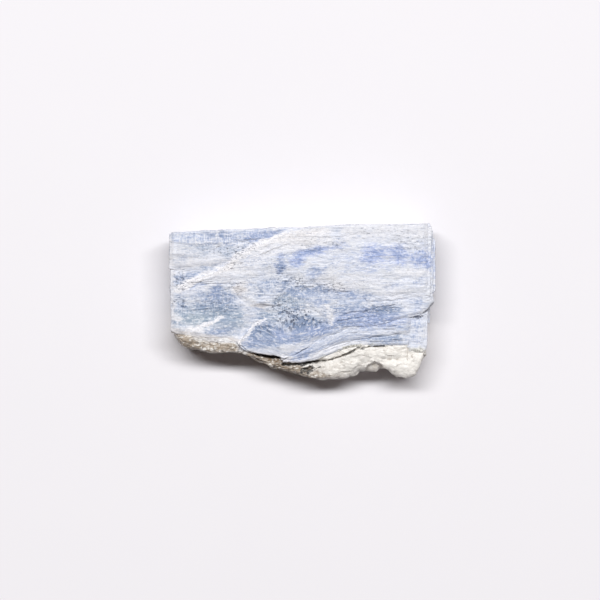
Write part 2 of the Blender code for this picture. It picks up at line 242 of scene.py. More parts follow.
# Name, levels of the lower and the upper face, slope of the top along X and Y, back and front edge.
PLATES = (
    ("blue_face", 9.9, 11.35, 0.0, 0.006,
     ((-33.05, 11.0), (-24.0, 10.0), (-10.0, 9.5), (0.0, 8.0), (12.0, 6.5), (31.9, 5.0)),
     ((-32.7, -7.3), (-30.5, -8.3), (-28.1, -8.5), (-25.6, -8.9), (-23.1, -9.7), (-19.4, -9.8),
      (-16.4, -10.1), (-15.2, -11.6), (-13.2, -12.6), (-10.1, -13.0), (-5.6, -13.4), (-4.4, -13.7),
      (-1.9, -12.0), (1.9, -10.1), (6.9, -8.2), (10.6, -7.2), (16.9, -6.1), (23.1, -4.7),
      (27.6, -3.8), (29.2, -3.5), (31.2, -1.9), (32.8, -0.2))),
    ("upper_ledge", 9.8, 10.95, 0.0, 0.006,
     ((-6.0, -11.0), (0.0, -7.0), (27.3, -2.0)),
     ((-5.2, -14.4), (-3.1, -14.6), (0.6, -13.6), (5.6, -11.8), (10.6, -10.1), (16.4, -9.1),
      (21.9, -8.2), (27.0, -7.8))),
    ("lower_ledge", 9.7, 10.6, 0.0, 0.0,
     ((-5.4, -12.0), (0.0, -9.0), (26.9, -4.0)),
     ((-5.0, -15.0), (-0.6, -15.3), (3.9, -14.3), (8.1, -12.7), (11.9, -11.5), (15.9, -10.9),
      (20.6, -10.8), (26.5, -10.6))),
    ("corner_block", 9.6, 10.45, 0.0, 0.0,
     ((26.5, -2.6), (31.2, -1.4)),
     ((26.7, -12.1), (27.4, -12.4), (30.3, -12.4))),
    ("end_step_low", 9.75, 10.85, 0.0, 0.0,
     ((29.5, 17.6), (32.6, 17.8)),
     ((29.5, 1.4), (32.6, 1.9))),
    ("end_step_high", 9.85, 11.5, 0.0, 0.0,
     ((29.0, 18.4), (32.0, 18.6)),
     ((29.0, 1.0), (31.9, 1.2))),
    ("left_back", 9.95, 11.85, 0.0, 0.0,
     ((-33.1, 16.9), (-24.4, 17.8), (-15.6, 18.1), (-6.9, 18.4), (2.0, 18.6)),
     ((-33.1, 8.3), (-29.9, 7.5), (-26.1, 8.1), (-23.1, 8.5), (-20.1, 9.0), (-15.6, 10.0),
      (-8.1, 11.9), (-2.0, 15.0), (2.0, 17.6))),
    ("crest", 9.87, 12.05, 0.0, 0.045,
     ((-29.7, 4.1), (-26.6, 5.9), (-22.6, 7.1), (-19.6, 8.9), (-16.1, 11.5), (-12.6, 13.5),
      (-8.6, 15.0), (-4.6, 17.0), (-1.1, 18.3), (6.9, 18.9), (15.6, 19.2), (25.6, 19.3),
      (31.2, 19.3)),
     ((-30.1, 2.9), (-25.1, 4.5), (-21.9, 4.6), (-15.6, 4.3), (-8.6, 5.1), (-4.1, 6.1),
      (-1.1, 5.3), (0.6, 3.8), (2.6, 3.6), (4.9, 4.3), (7.1, 4.6), (8.1, 2.4), (12.4, 2.7),
      (14.9, 1.7), (16.1, 0.3), (20.6, 0.2), (25.6, 0.7), (31.6, 0.9))),
    ("pale_patch", 10.3, 11.62, -0.008, 0.0,
     ((-17.5, 5.2), (-10.0, 6.2), (-3.0, 7.2)),
     ((-17.5, 3.8), (-15.4, 0.4), (-12.4, -1.1), (-7.6, -1.5), (-5.2, 0.6), (-3.0, 5.0))),
    ("middle_patch", 10.4, 11.6, 0.0, 0.0,
     ((0.1, 0.9), (4.4, 1.5), (8.6, 0.9)),
     ((0.1, -2.1), (2.4, -3.1), (4.9, -4.1), (6.4, -5.8), (7.6, -4.8), (8.6, -3.0))),
    ("toe_ledge", 10.35, 11.5, -0.010, 0.008,
     ((-27.8, -7.6), (-25.6, -6.4), (-23.1, -5.2), (-20.0, -3.8), (-17.6, -5.6)),
     ((-27.8, -8.0), (-24.4, -8.9), (-20.4, -9.3), (-17.6, -9.0))),
    ("belly_ledge", 10.25, 11.75, -0.030, 0.012,
     ((-15.7, -10.3), (-14.1, -8.0), (-11.6, -6.0), (-8.6, -4.3), (-4.4, -3.6), (0.2, -5.0),
      (5.6, -8.6)),
     ((-15.7, -10.6), (-13.3, -12.3), (-10.1, -12.9), (-5.8, -13.4), (-4.6, -14.2), (-1.9, -13.0),
      (2.2, -11.0), (5.6, -9.2))),
)
print(len(BODY_BLADES) + 1, "thick blades,", len(PLATES), "thin blades and ledges")

# %% How worn and how ragged the blades are
# The teeth of the broken edges: their size and their reach, along X and along Y. The solids have the
# first two rows, and the last two are finer.
SPLINTERS = (
    (3.6, 1.7, 0.30, 0.22), (1.5, 0.8, 0.16, 0.12), (0.7, 0.4, 0.10, 0.09), (0.3, 0.2, 0.05, 0.05),
)
UPRIGHT_CALM = 0.7  # share of the reach along X that is lost where an edge runs along Y
BODY_SEED, SHOWN_SEED, PLATE_SEED, SLIVER_SEED = 20, 30, 40, 200
# How a thin blade's front edge is worn: the length of its steps, how far it has sunk at least and at
# most, and how wide the sunk strip is.
BROWS = {
    "blue_face": (0.0, 0.10, 0.42, 1.0), "upper_ledge": (0.0, 0.05, 0.36, 0.8),
    "lower_ledge": (0.0, 0.0, 0.15, 0.4), "corner_block": (0.0, 0.0, 0.1, 0.4),
    "end_step_low": (0.0, 0.1, 0.3, 0.6), "end_step_high": (0.0, 0.1, 0.3, 0.6),
    "left_back": (1.3, 0.38, 0.58, 2.0), "crest": (1.2, 0.22, 0.46, 2.5),
    "pale_patch": (0.0, 0.12, 0.30, 1.5), "middle_patch": (0.0, 0.12, 0.30, 1.5),
    "toe_ledge": (0.0, 0.0, 0.18, 1.0), "belly_ledge": (0.0, 0.32, 0.58, 2.4),
}
# How far the left and the right end of a thin blade have sunk, over the width of an end.
SUNK_ENDS = {
    "blue_face": (0.35, 0.40), "left_back": (0.5, 0.0), "crest": (0.0, 0.40),
    "upper_ledge": (0.0, 0.42), "lower_ledge": (0.0, 0.12), "corner_block": (0.0, 0.15),
}
END_WIDTH = 1.2
print("finest tooth:", SPLINTERS[-1][0], "mm long; deepest brow:", max(row[2] for row in BROWS.values()))

# %% [markdown]
# ## Where the stone is blue, and where it is white
#
# The blue of kyanite comes in clouds and streaks. It could be painted from an image, but soft spots
# listed one by one say the same thing in a few lines and stay sharp at any size. Each spot is an ellipse
# whose rim is frayed along the fibres. White bands are crushed zones, and follow lines.

# %% Blue clouds
# X, Y, half length, half width, turn in degrees, strength, and how violet it is; below 0 is teal.
BLUE_SPOTS = (
    (-22.4, 16.2, 11.5, 1.8, 1, 0.58, 0.35), (-10.6, 16.6, 2.4, 1.6, 2, 0.75, 0.45),
    (-6.2, 17.0, 2.4, 1.0, 0, 0.85, 0.50), (-18.7, 12.4, 1.8, 1.4, 10, 0.50, -0.4),
    (-24.4, 12.9, 2.6, 1.4, 0, 0.30, -0.3), (-14.1, 13.9, 2.4, 0.9, 10, 0.40, 0.10),
    (-12.4, 9.8, 3.6, 1.4, 12, 0.85, 0.10), (-28.6, 6.4, 2.9, 1.0, 10, 0.80, 0.20),
    (-31.1, 5.2, 1.3, 2.2, 0, 0.45, 0.00), (-30.4, -0.3, 1.9, 1.4, 0, 0.55, -0.1),
    (-21.6, 2.4, 1.3, 1.9, 0, 1.00, 0.30), (-25.4, 3.6, 2.4, 0.9, 0, 0.42, 0.45),
    (-25.1, -1.2, 4.4, 1.3, 5, 0.55, 0.05), (-23.9, -3.2, 7.5, 2.2, 3, 0.64, -0.7),
    (-19.4, -1.9, 3.5, 1.3, 0, 0.70, -0.1), (-16.6, -4.6, 2.6, 1.9, 8, 0.66, -0.5),
    (-26.6, -4.3, 2.8, 1.4, 0, 0.60, -0.5), (-20.1, -7.3, 4.2, 0.9, 12, 0.42, 0.30),
    (-5.6, 9.0, 1.3, 1.7, -25, 1.00, 0.40), (-1.1, 11.2, 1.6, 1.9, 0, 0.75, 0.75),
    (2.4, 13.1, 2.7, 1.2, 12, 1.00, 0.85), (6.1, 13.2, 2.2, 0.9, 5, 0.55, 0.80),
    (9.4, 14.6, 1.4, 1.2, 0, 0.45, 0.80), (3.4, 7.5, 2.9, 1.3, 5, 0.72, 0.35),
    (17.5, 12.0, 2.4, 2.0, 0, 0.90, 0.95), (23.6, 12.2, 2.4, 1.6, -10, 0.85, 0.95),
    (24.4, 10.2, 1.8, 1.0, 0, 0.45, 0.95), (29.6, 10.6, 2.6, 1.8, -5, 0.85, 0.70),
    (31.1, 8.4, 0.9, 2.2, 0, 0.60, 0.50), (22.4, 11.2, 12.0, 3.6, 0, 0.25, 0.80),
    (11.9, 8.9, 5.0, 3.0, 0, 0.22, 0.40), (12.6, 4.8, 6.0, 1.4, 0, 0.18, 0.30),
    (-5.5, 4.4, 3.4, 1.6, 0, 0.60, 0.10), (-0.6, 2.6, 4.6, 1.3, 0, 0.76, 0.10),
    (5.4, 3.2, 3.0, 1.0, 5, 0.75, 0.10), (1.4, 1.2, 4.4, 1.8, 0, 0.42, 0.20),
    (-3.7, -0.3, 3.4, 2.2, 0, 0.55, -0.6), (-10.1, 3.4, 1.4, 2.0, 0, 0.42, 0.05),
    (-13.1, 5.2, 2.6, 1.2, 0, 0.25, 0.20), (-7.6, -3.4, 3.4, 1.4, 0, 0.45, -0.6),
    (0.2, -5.0, 3.8, 1.7, 0, 0.95, -0.3), (1.4, -5.0, 2.0, 1.0, 0, 0.50, 0.00),
    (8.4, -2.3, 3.0, 1.1, 8, 0.80, 0.05), (13.9, -3.8, 5.5, 1.5, 5, 0.90, 0.65),
    (19.4, -1.9, 4.0, 1.3, 6, 0.82, 0.10), (23.1, -2.6, 2.6, 1.0, 5, 0.72, 0.10),
    (8.3, -5.5, 3.4, 1.1, 5, 0.82, 0.10), (16.5, -6.3, 4.0, 0.8, 3, 0.52, 0.40),
    (19.9, -5.2, 7.0, 1.0, 3, 0.55, 0.80), (3.9, -7.1, 5.0, 1.4, 10, 0.75, 0.50),
    (10.6, -7.8, 4.0, 0.8, 12, 0.15, 0.20), (-9.9, -7.1, 3.0, 2.2, 10, 0.85, 0.05),
    (-8.8, -10.2, 5.2, 1.3, 6, 0.85, 0.15), (-10.9, -8.9, 2.8, 1.0, 0, 0.60, 0.05),
    (-3.6, -9.6, 2.8, 1.2, 0, 0.45, 0.30), (-13.1, -10.3, 2.0, 1.3, 20, 0.42, 0.30),
    (0.4, -13.3, 4.4, 1.2, 12, 0.75, 0.40), (6.9, -10.8, 5.0, 1.2, 14, 0.20, 0.25),
    (15.4, -8.6, 5.0, 0.9, 6, 0.42, 0.25), (22.9, -8.9, 5.0, 0.8, 2, 0.48, 0.00),
    (20.1, -9.2, 3.6, 0.7, 4, 0.50, 0.00), (29.0, -6.8, 1.4, 4.5, 0, 0.36, 0.40),
    (32.9, 9.2, 0.5, 6.0, 0, 0.45, 0.40), (-8.0, 1.0, 22.0, 7.5, 0, 0.14, 0.10),
    (-20.0, -2.0, 13.0, 7.0, 0, 0.25, 0.05), (4.0, -6.0, 20.0, 6.0, 5, 0.14, 0.10),
    (2.0, -9.5, 7.5, 3.2, 8, 0.32, 0.10), (13.0, 0.4, 8.0, 1.8, 0, 0.32, 0.10),
    (19.5, -10.0, 6.0, 1.1, 0, 0.60, 0.10), (-20.0, 12.0, 10.0, 3.0, 10, 0.22, 0.15),
    (22.0, -5.0, 9.0, 3.0, 0, 0.16, 0.10), (-24.0, -6.0, 8.0, 3.0, 0, 0.20, -0.7),
    (-2.0, 11.0, 7.0, 1.6, 8, 0.18, 0.50), (-26.4, 12.3, 5.5, 1.4, 0, 0.60, -0.1),
    (29.0, -0.3, 2.4, 1.2, 0, 0.52, 0.30), (-5.4, 11.7, 1.6, 1.0, 0, 0.60, 0.50),
    (-1.9, 9.4, 1.4, 1.1, 0, 0.75, 0.60), (-22.4, 8.3, 3.2, 0.9, 0, 0.68, 0.00),
    (-20.6, 9.6, 2.0, 0.8, 5, 0.50, 0.00), (9.5, 8.3, 2.4, 1.0, 0, 0.40, 0.30),
    (16.6, 7.9, 2.4, 0.9, 0, 0.34, 0.40), (21.9, 3.9, 2.2, 1.0, 0, 0.85, 0.30),
    (29.4, 4.9, 1.8, 1.0, 0, 0.40, 0.40), (-21.2, 1.7, 7.6, 1.2, 0, 0.58, 0.05),
    (-17.3, 1.3, 1.6, 1.8, 0, 0.55, 0.05), (10.0, 1.9, 5.0, 1.1, 0, 0.50, 0.20),
    (-20.6, -0.2, 3.6, 1.2, 0, 0.50, 0.05), (5.0, -0.2, 1.6, 1.0, 0, 0.75, 0.20),
    (12.9, -1.5, 2.8, 1.2, 0, 0.70, 0.10), (13.5, 1.3, 3.0, 0.9, 0, 0.48, 0.20),
    (-13.4, -2.9, 2.0, 1.1, 0, 0.68, 0.00), (-12.1, -1.2, 2.6, 0.8, 0, 0.65, 0.00),
    (-11.6, -3.9, 3.0, 0.9, 10, 0.35, 0.10), (20.3, -3.7, 4.6, 1.0, 3, 0.72, 0.50),
    (-0.4, -6.1, 5.0, 1.2, 3, 0.70, 0.20), (24.6, -6.2, 4.0, 0.8, 0, 0.45, 0.20),
    (-20.4, -8.1, 3.0, 0.9, 0, 0.55, 0.20), (-4.9, -8.2, 2.4, 1.2, 0, 0.75, 0.45),
    (-1.4, -9.8, 2.6, 1.0, 5, 0.50, 0.20), (-9.8, -9.9, 2.0, 0.8, 0, 0.60, 0.10),
    (9.0, -12.2, 5.0, 0.5, 20, 0.50, 0.10), (-1.6, -1.6, 1.6, 1.2, 0, 0.45, 0.20),
    (-12.8, -8.2, 1.8, 1.0, 0, 0.60, 0.10), (2.0, -6.7, 3.0, 1.3, 0, 0.97, 0.20),
    (-5.7, -7.9, 1.6, 1.0, 0, 0.70, 0.30), (-19.2, -4.5, 2.6, 1.4, 0, 0.97, 0.00),
    (-31.4, 1.6, 2.2, 1.0, 0, 0.50, 0.00), (-31.4, -4.9, 1.6, 1.1, 0, 0.85, -0.2),
    (2.2, 12.2, 2.6, 0.9, 5, 0.65, 0.80),
)
print(len(BLUE_SPOTS), "blue spots, the longest", 2 * max(row[2] for row in BLUE_SPOTS), "mm")

# %% White bands, stains, cream, specks and partings
# Line of the middle, half width and strength of the crushed bands.
WHITE_BANDS = (
    (((-31.2, 3.0), (-28.0, 4.6), (-24.7, 6.5), (-18.9, 8.4), (-16.1, 11.2), (-12.1, 13.4),
      (-8.1, 15.2), (-3.1, 16.6), (5.6, 17.6)), 1.0, 1.2),
    (((-19.6, 7.9), (-13.1, 8.9), (-9.1, 12.4), (-1.6, 14.9), (5.6, 15.9)), 1.8, 0.6),
    (((-28.4, -7.6), (-26.1, -6.4), (-23.1, -5.2), (-20.4, -3.9)), 0.44, 1.05),
    (((-28.9, -7.4), (-25.4, -7.1)), 0.8, 0.8),
    (((-15.9, -10.4), (-14.1, -8.1), (-11.6, -6.1), (-9.4, -4.5)), 0.40, 0.95),
    (((-32.2, -3.9), (-30.4, -4.3)), 0.8, 0.7),
    (((-33.0, 15.0), (-33.0, -7.0)), 0.9, 0.5),
    (((-30.4, 1.6), (-26.6, 2.6), (-22.6, 4.2)), 0.7, 0.35),
    (((4.4, 5.9), (9.6, 9.0)), 1.2, 0.4),
    (((10.6, 17.4), (30.6, 17.9)), 1.8, 0.5),
    (((8.1, 4.7), (14.9, 5.4), (23.1, 2.4)), 2.0, 0.4),
    (((24.4, 7.6), (30.6, 7.2)), 1.0, 0.5),
    (((-15.9, 2.4), (-13.1, -0.6), (-13.1, -3.1)), 1.8, 0.4),
    (((6.2, -1.6), (7.4, -3.0), (7.4, -5.0)), 0.8, 0.7),
    (((-27.9, -9.0), (-21.1, -8.6), (-16.1, -9.4)), 0.7, 0.35),
    (((-4.6, -11.6), (-0.6, -11.2)), 1.0, 0.3),
    (((-5.1, -13.9), (-3.6, -14.4)), 0.9, 0.7),
    (((1.9, -13.6), (10.6, -10.9), (16.0, -10.2)), 0.7, 0.6),
    (((-30.0, 12.5), (-21.0, 11.4)), 1.1, 0.3),
    (((-28.0, 10.0), (-19.6, 9.9)), 1.1, 0.42),
    (((-24.0, 5.5), (-12.6, 5.7)), 0.9, 0.35),
)
# X, Y, half length, half width, turn and strength of the brownish tints.
STAINS = (
    (-15.4, 3.4, 1.6, 1.3, 0, 0.7), (-10.4, -0.9, 2.2, 0.5, 0, 0.9), (7.6, 3.4, 3.0, 1.2, 0, 0.2),
    (-0.6, 15.4, 5.0, 1.5, 10, 0.25), (-18.0, 8.8, 3.0, 0.8, 25, 0.25), (-3.5, -14.9, 2.5, 0.5, -10, 0.5),
    (-24.0, -9.1, 7.0, 0.8, -6, 0.8), (-30.8, -7.7, 2.0, 0.8, -20, 0.9),
    (-11.0, -13.2, 5.0, 0.5, -8, 0.6), (-19.0, -9.6, 3.0, 0.5, 0, 0.8), (0.5, -15.0, 3.0, 0.5, 0, 0.5),
    (-30.0, 10.0, 3.0, 3.0, 0, 0.2),
)
# X, Y, half length, half width, turn and strength of the places that quartz has crept over.
CREAM = (
    (6.3, -13.6, 2.6, 0.35, 22, 0.9), (9.6, -12.3, 2.4, 0.35, 20, 1.0), (12.4, -11.5, 2.6, 0.5, 14, 1.0),
    (15.6, -11.0, 2.2, 0.4, 4, 0.9), (28.8, -12.3, 2.4, 0.8, 0, 0.9),
)
# X, Y, half length, half width, turn and strength of the zones with dark chips broken out.
SPECKLES = (
    (-0.4, -4.4, 5.5, 2.6, 5, 1.0), (-5.6, -1.1, 3.0, 2.8, 0, 0.8), (-30.6, 5.6, 1.6, 2.6, 0, 0.8),
    (-30.6, -0.6, 2.2, 1.2, 0, 0.7), (-9.6, -6.1, 2.6, 1.6, 20, 0.9), (-15.9, 3.9, 2.6, 1.8, 0, 0.6),
    (-14.6, 13.4, 4.0, 1.8, 20, 0.7), (-20.6, 13.2, 4.5, 1.0, 0, 0.6), (-17.6, 9.1, 3.0, 0.9, 25, 0.7),
    (-1.1, 4.4, 4.5, 1.8, 0, 0.7), (7.6, 3.4, 4.0, 1.5, 0, 0.6), (-20.6, -0.4, 5.0, 2.5, 0, 0.5),
    (20.1, -1.4, 5.0, 1.2, 5, 0.6), (2.4, 13.9, 3.4, 1.4, 10, 0.5), (-5.9, 8.4, 2.0, 3.0, 0, 0.5),
    (8.9, 14.7, 1.6, 1.6, 0, 0.5), (17.4, 17.6, 3.0, 1.0, 0, 0.4), (14.1, -4.6, 8.0, 1.6, 5, 0.4),
    (27.0, 15.0, 5.0, 3.0, 0, 0.35),
)
# X, Y, half length, half width, turn and strength of the zones with fine partings across the fibres.
PARTED = (
    (-21.0, 15.8, 11.0, 1.9, 1, 1.0), (-13.8, 4.0, 3.0, 6.0, 0, 0.6), (-8.6, 5.5, 1.5, 5.0, 0, 0.8),
    (-3.0, 0.0, 3.0, 4.0, 0, 0.6), (29.6, 9.5, 3.0, 8.0, 0, 0.5), (29.3, -7.5, 1.6, 4.5, 0, 0.9),
    (-30.5, 2.0, 2.0, 8.0, 0, 0.5), (-21.0, 0.0, 3.0, 5.0, 0, 0.5), (4.0, 2.0, 4.0, 3.0, 0, 0.4),
)
print(len(WHITE_BANDS), "white bands;", len(STAINS + CREAM + SPECKLES + PARTED), "other spots")

# %% Shares of colour at any point
SPOT_END, SPOT_FALL = 1.67, 1.33  # where a spot ends, and over how far it fades, in half sizes
BAND_END, BAND_FALL = 1.4, 0.9  # the same for a band
FAINTEST_BLUE = 0.05  # the tint of a place that is less blue than this counts for less
# How the rims are frayed along X and along Y: reach, and length and width of the noise's cells.
FRAY_X, FRAY_Y = ((0.9, 2.4, 0.7), (0.5, 0.9, 0.25)), ((0.45, 2.0, 0.9), (0.18, 0.7, 0.3))
FRAY_SEEDS = (71, 73)


def spot(x, y, centre_x, centre_y, half_length, half_width, turn):
    """A soft ellipse: 1 at its middle, half at its rim, and 0 at one and two thirds of it."""
    cos, sin = np.cos(np.radians(turn)), np.sin(np.radians(turn))
    along = (x - centre_x) * cos + (y - centre_y) * sin
    over = (y - centre_y) * cos - (x - centre_x) * sin
    return smooth_step((SPOT_END - np.hypot(along / half_length, over / half_width)) / SPOT_FALL)


def frayed(x, y):
    """X and Y moved a little by noise, more along the fibres than across them."""
    return x + layered(x, y, FRAY_X, FRAY_SEEDS[0]), y + layered(x, y, FRAY_Y, FRAY_SEEDS[1])


def crushed_share(x, y):
    """How crushed the stone is, from 0: the strongest white band near each point."""
    moved_x, moved_y = frayed(x, y)
    share = np.zeros(x.shape)
    for line, half_width, strength in WHITE_BANDS:
        away, _ = distance_to(line, moved_x, moved_y)
        share = np.maximum(share, strength * smooth_step((BAND_END - away / half_width) / BAND_FALL))
    return share


def blue_share(x, y):
    """How blue the stone is, 0 to 1, and how violet, -1 to 1: spots fill up what is still white."""
    moved_x, moved_y = frayed(x, y)
    left, violet = np.ones(x.shape), np.zeros(x.shape)
    for *place, strength, tint in BLUE_SPOTS:
        share = strength * spot(moved_x, moved_y, *place)
        violet += share * tint
        left *= 1 - share
    blue = 1 - left
    return blue, np.clip(violet / np.maximum(blue, FAINTEST_BLUE), -1, 1)


def spots_share(x, y, table):
    """Sum of a table's spots, each with its strength last, kept from 0 to 1."""
    moved_x, moved_y = frayed(x, y)
    total = sum(strength * spot(moved_x, moved_y, *place) for *place, strength in table)
    return np.clip(total, 0, 1)


print("a spot at its rim:", round(float(spot(1.0, 0.0, 0.0, 0.0, 1.0, 1.0, 0.0)), 2))
print("mean blue along the middle:", round(blue_share(SAMPLE, 0 * SAMPLE)[0].mean(), 2))

# %% [markdown]
# ## Cracks
#
# The specimen has dark hairline cracks along its ledges, and a cleft wherever a blade's front edge
# meets the leaf under it. Each crack is a line with a bell-shaped groove on it.

# %% Cracks and clefts
# Line, half width and depth.
CRACKS = (
    (((-26.0, 4.7), (-22.0, 5.1)), 0.12, 0.18),
    (((-13.6, -1.1), (-10.1, -0.8), (-6.9, -1.2), (-4.4, -0.6)), 0.18, 0.25),
    (((8.6, -4.1), (11.9, -2.6), (14.9, -2.8), (17.4, -1.8), (20.6, -1.1), (23.1, -0.8),
      (24.4, -1.8)), 0.15, 0.20),
    (((6.9, -5.1), (10.6, -4.6), (15.6, -3.8), (19.4, -3.6), (24.4, -3.1)), 0.13, 0.15),
    (((8.1, -5.8), (13.1, -5.2), (17.4, -5.3), (22.4, -4.6)), 0.12, 0.13),
    (((5.6, -7.1), (11.9, -6.3), (17.4, -6.3), (23.1, -6.1), (27.1, -5.6)), 0.13, 0.15),
    (((26.4, -8.1), (23.1, -8.1), (20.1, -8.3), (17.4, -8.8), (15.9, -9.6), (17.4, -10.1),
      (20.6, -9.8), (23.1, -9.6), (26.4, -9.8)), 0.14, 0.24),
    (((1.9, -11.8), (6.9, -10.3), (11.9, -8.8), (16.9, -8.1)), 0.10, 0.07),
    (((22.4, 14.4), (24.4, 12.4)), 0.10, 0.12),
    (((23.6, 14.7), (25.6, 12.7)), 0.10, 0.12),
    (((25.4, 13.9), (26.6, 12.4)), 0.10, 0.12),
    (((27.6, -4.0), (29.4, -3.7), (31.4, -2.0), (32.9, 0.2)), 0.22, 0.50),
    (((0.6, -14.8), (3.1, -14.2), (8.4, -12.3), (12.0, -11.1), (15.0, -10.4)), 0.11, 0.17),
    (((-3.0, -14.7), (2.0, -13.6), (7.0, -11.9), (12.0, -10.2), (19.0, -9.4)), 0.10, 0.14),
    (((1.0, -12.9), (5.0, -11.3), (10.0, -9.5), (17.0, -8.6), (25.0, -8.0)), 0.10, 0.09),
    (((9.0, -8.3), (15.0, -7.4), (21.0, -7.0), (26.8, -6.6)), 0.10, 0.16),
    (((4.0, -9.6), (9.0, -7.4), (14.0, -6.9)), 0.10, 0.12),
)
CLEFTS = (
    (((28.1, -4.1), (29.0, -4.0), (30.6, -3.4)), 0.30, 0.9),
)
# The crack share, and with it the painted shade in the cracks, is full at this depth.
CRACK_FULL = 0.22  # a crack this deep is as dark as cracks get
# How the lines wander, and how they are broken up: height, and length and width of the noise's cells.
CRACK_WANDER, CRACK_BREAKS = ((0.14, 1.1, 0.6),), ((1.3, 1.6, 0.8),)
CRACK_SEEDS = (81, 82)
CRACK_PRESENT = 0.45  # how much of a crack is there on average, before the noise
CRACK_TAIL = 0.12  # share of its length over which a crack thins out at each end
CLEFT_START = 1.1  # a cleft narrows along its line from this share of its half width
FOOT_WIDTH, FOOT_DEPTH = 0.22, 0.32  # the cleft where a blade's front edge meets the leaf under it
FOOT_RISE, FOOT_GROWTH = 0.05, 2.5  # the least rise with a cleft, and how fast it deepens with the rise


def cracks_depth(x, y, level):
    """Depth of the cracks: a bell-shaped groove on each line, broken up by noise and thin at its ends.

    A blade that stands higher than `level` has a cleft along the foot of its front edge.
    """
    wavy = y + layered(x, y, CRACK_WANDER, CRACK_SEEDS[0])
    present = smooth_step(CRACK_PRESENT + layered(x, y, CRACK_BREAKS, CRACK_SEEDS[1]))
    depth = np.zeros(x.shape)
    for line, half_width, deep in CRACKS:
        away, share = distance_to(line, x, wavy)
        depth = np.maximum(depth, deep * bell(away, half_width) * fading(share, 1, CRACK_TAIL))
    for name, _, high, _, _, _, front in PLATES:
        rise = high - level - BROWS[name][2] / 2
        if rise > FOOT_RISE:
            away, _ = distance_to(front, x, wavy)
            depth = np.maximum(depth, min(1.0, FOOT_GROWTH * rise) * FOOT_DEPTH * bell(away, FOOT_WIDTH))
    depth *= present
    for line, half_width, deep in CLEFTS:
        away, share = distance_to(line, x, y)
        depth = np.maximum(depth, deep * bell(away, half_width * (CLEFT_START - share)))
    return depth


print(len(CRACKS), "cracks,", round(sum(runs_of(line).sum() for line, _, _ in CRACKS)), "mm in all")

# %% [markdown]
# ## Relief of a cleavage face
#
# A cleavage face is not flat. It has terraces where leaves have split off, fine striations along the
# fibres, faint parting lines across them, sugary grains where it is crushed, and cracks. Each is its
# own height field in millimetres, and the relief is their sum.

# %% Heights over a blade's top
# The fibres dip with the ledges at the front: how far, at which X the most, and in front of which Y.
DIP, DIP_X, DIP_Y = 4.2, -1, -2
DIP_RIGHT, DIP_LEFT, DIP_FRONT = 15, 14, 9  # over which lengths the dip comes and goes
DIP_LOST = 0.57  # share of the dip that is lost on the left
# Height, and length and width of the cells. The terraces and partings are rounded to steps.
TERRACES, TERRACE_RISE, TERRACE_RISER = ((2.0, 7.0, 1.5), (1.0, 2.6, 0.6), (0.35, 0.8, 0.3)), 0.07, 0.3
PARTINGS, PARTING_RISE, PARTING_RISER = ((2.0, 0.8, 4.0),), 0.018, 0.4
STRIATIONS = ((0.022, 5.0, 0.5), (0.018, 2.2, 0.3))
LUMPS = ((0.14, 2.2, 1.3),)
SUGAR_RISE, SUGAR_SIZE = 0.07, (0.75, 0.5)
CHIP_RISE, CHIP_SIZE = 0.03, (1.1, 0.45)
PITS, PIT_LEVEL, PIT_DEPTH = ((1.0, 1.1, 0.5),), 0.15, 0.35
CRUSHED_CALM = 0.6  # share of the terraces and striations that crushing has wiped out


def across(x, y):
    """Y bent so that its level lines run along the fibres, which dip with the ledges at the front."""
    right_dip = 1 - smooth_step((x - DIP_X) / DIP_RIGHT)
    left_dip = 1 - DIP_LOST * smooth_step((DIP_X - x) / DIP_LEFT)
    return y + DIP * np.where(x > DIP_X, right_dip, left_dip) * smooth_step((DIP_Y - y) / DIP_FRONT)


def relief(x, y, level, seed):
    """Height above the blade's plain top: terraces + striations + partings + grains - pits - cracks."""
    q = across(x, y)
    crushed = crushed_share(x, y)
    terraces = TERRACE_RISE * stepped(layered(x, q, TERRACES, seed), TERRACE_RISER)
    striations = layered(x, q, STRIATIONS, seed + 3)
    partings = PARTING_RISE * stepped(layered(x, q, PARTINGS, seed + 5), PARTING_RISER)
    sugar = SUGAR_RISE * flat_grains(x, y, *SUGAR_SIZE, seed + 6) + layered(x, y, LUMPS, seed + 7)
    chips = CHIP_RISE * flat_grains(x, q, *CHIP_SIZE, seed + 8)
    pits = np.clip(layered(x, q, PITS, seed + 9) - PIT_LEVEL, 0, 1) * spots_share(x, y, SPECKLES)
    rough = crushed * sugar + chips - PIT_DEPTH * pits
    calm = 1 - CRUSHED_CALM * crushed
    return calm * (terraces + striations) + partings + rough - cracks_depth(x, y, level)


trial = relief(SAMPLE, 0 * SAMPLE, BODY_TOP, 1)
print("relief along the middle:", round(trial.min(), 2), "to", round(trial.max(), 2), "mm")

# %% [markdown]
# ## Broken edges
#
# Kyanite breaks along its fibres, so an edge that runs aslant is a flight of small steps: straight runs
# along X joined by short jumps. The noise that the solids have comes first, then finer teeth.

# %% Make an edge ragged
STAIR_UNEVEN, STAIR_CELL = 0.6, 2.6  # how uneven the treads are, and the noise's cells, in treads
STAIR_RISER, STAIR_FADE = 0.12, 1.0  # share of a tread that its riser takes up, and the fade at the ends


def toothed(points, seed):
    """Each point moved by the splinter noise of its place, and less where the edge runs along Y."""
    place = flat_points(*points.T)
    run = np.gradient(points, axis=0)
    calm = 1 - UPRIGHT_CALM * np.abs(run[:, 1]) / np.maximum(np.hypot(*run.T), 1e-6)
    moved = points.copy()
    for n, (cell_x, cell_y, reach_x, reach_y) in enumerate(SPLINTERS):
        size = (cell_x, cell_y, 1.0)
        moved[:, 0] += reach_x * calm * noise(place, size, seed + 7 * n)
        moved[:, 1] += reach_y * noise(place, size, seed + 7 * n + 3)
    return moved


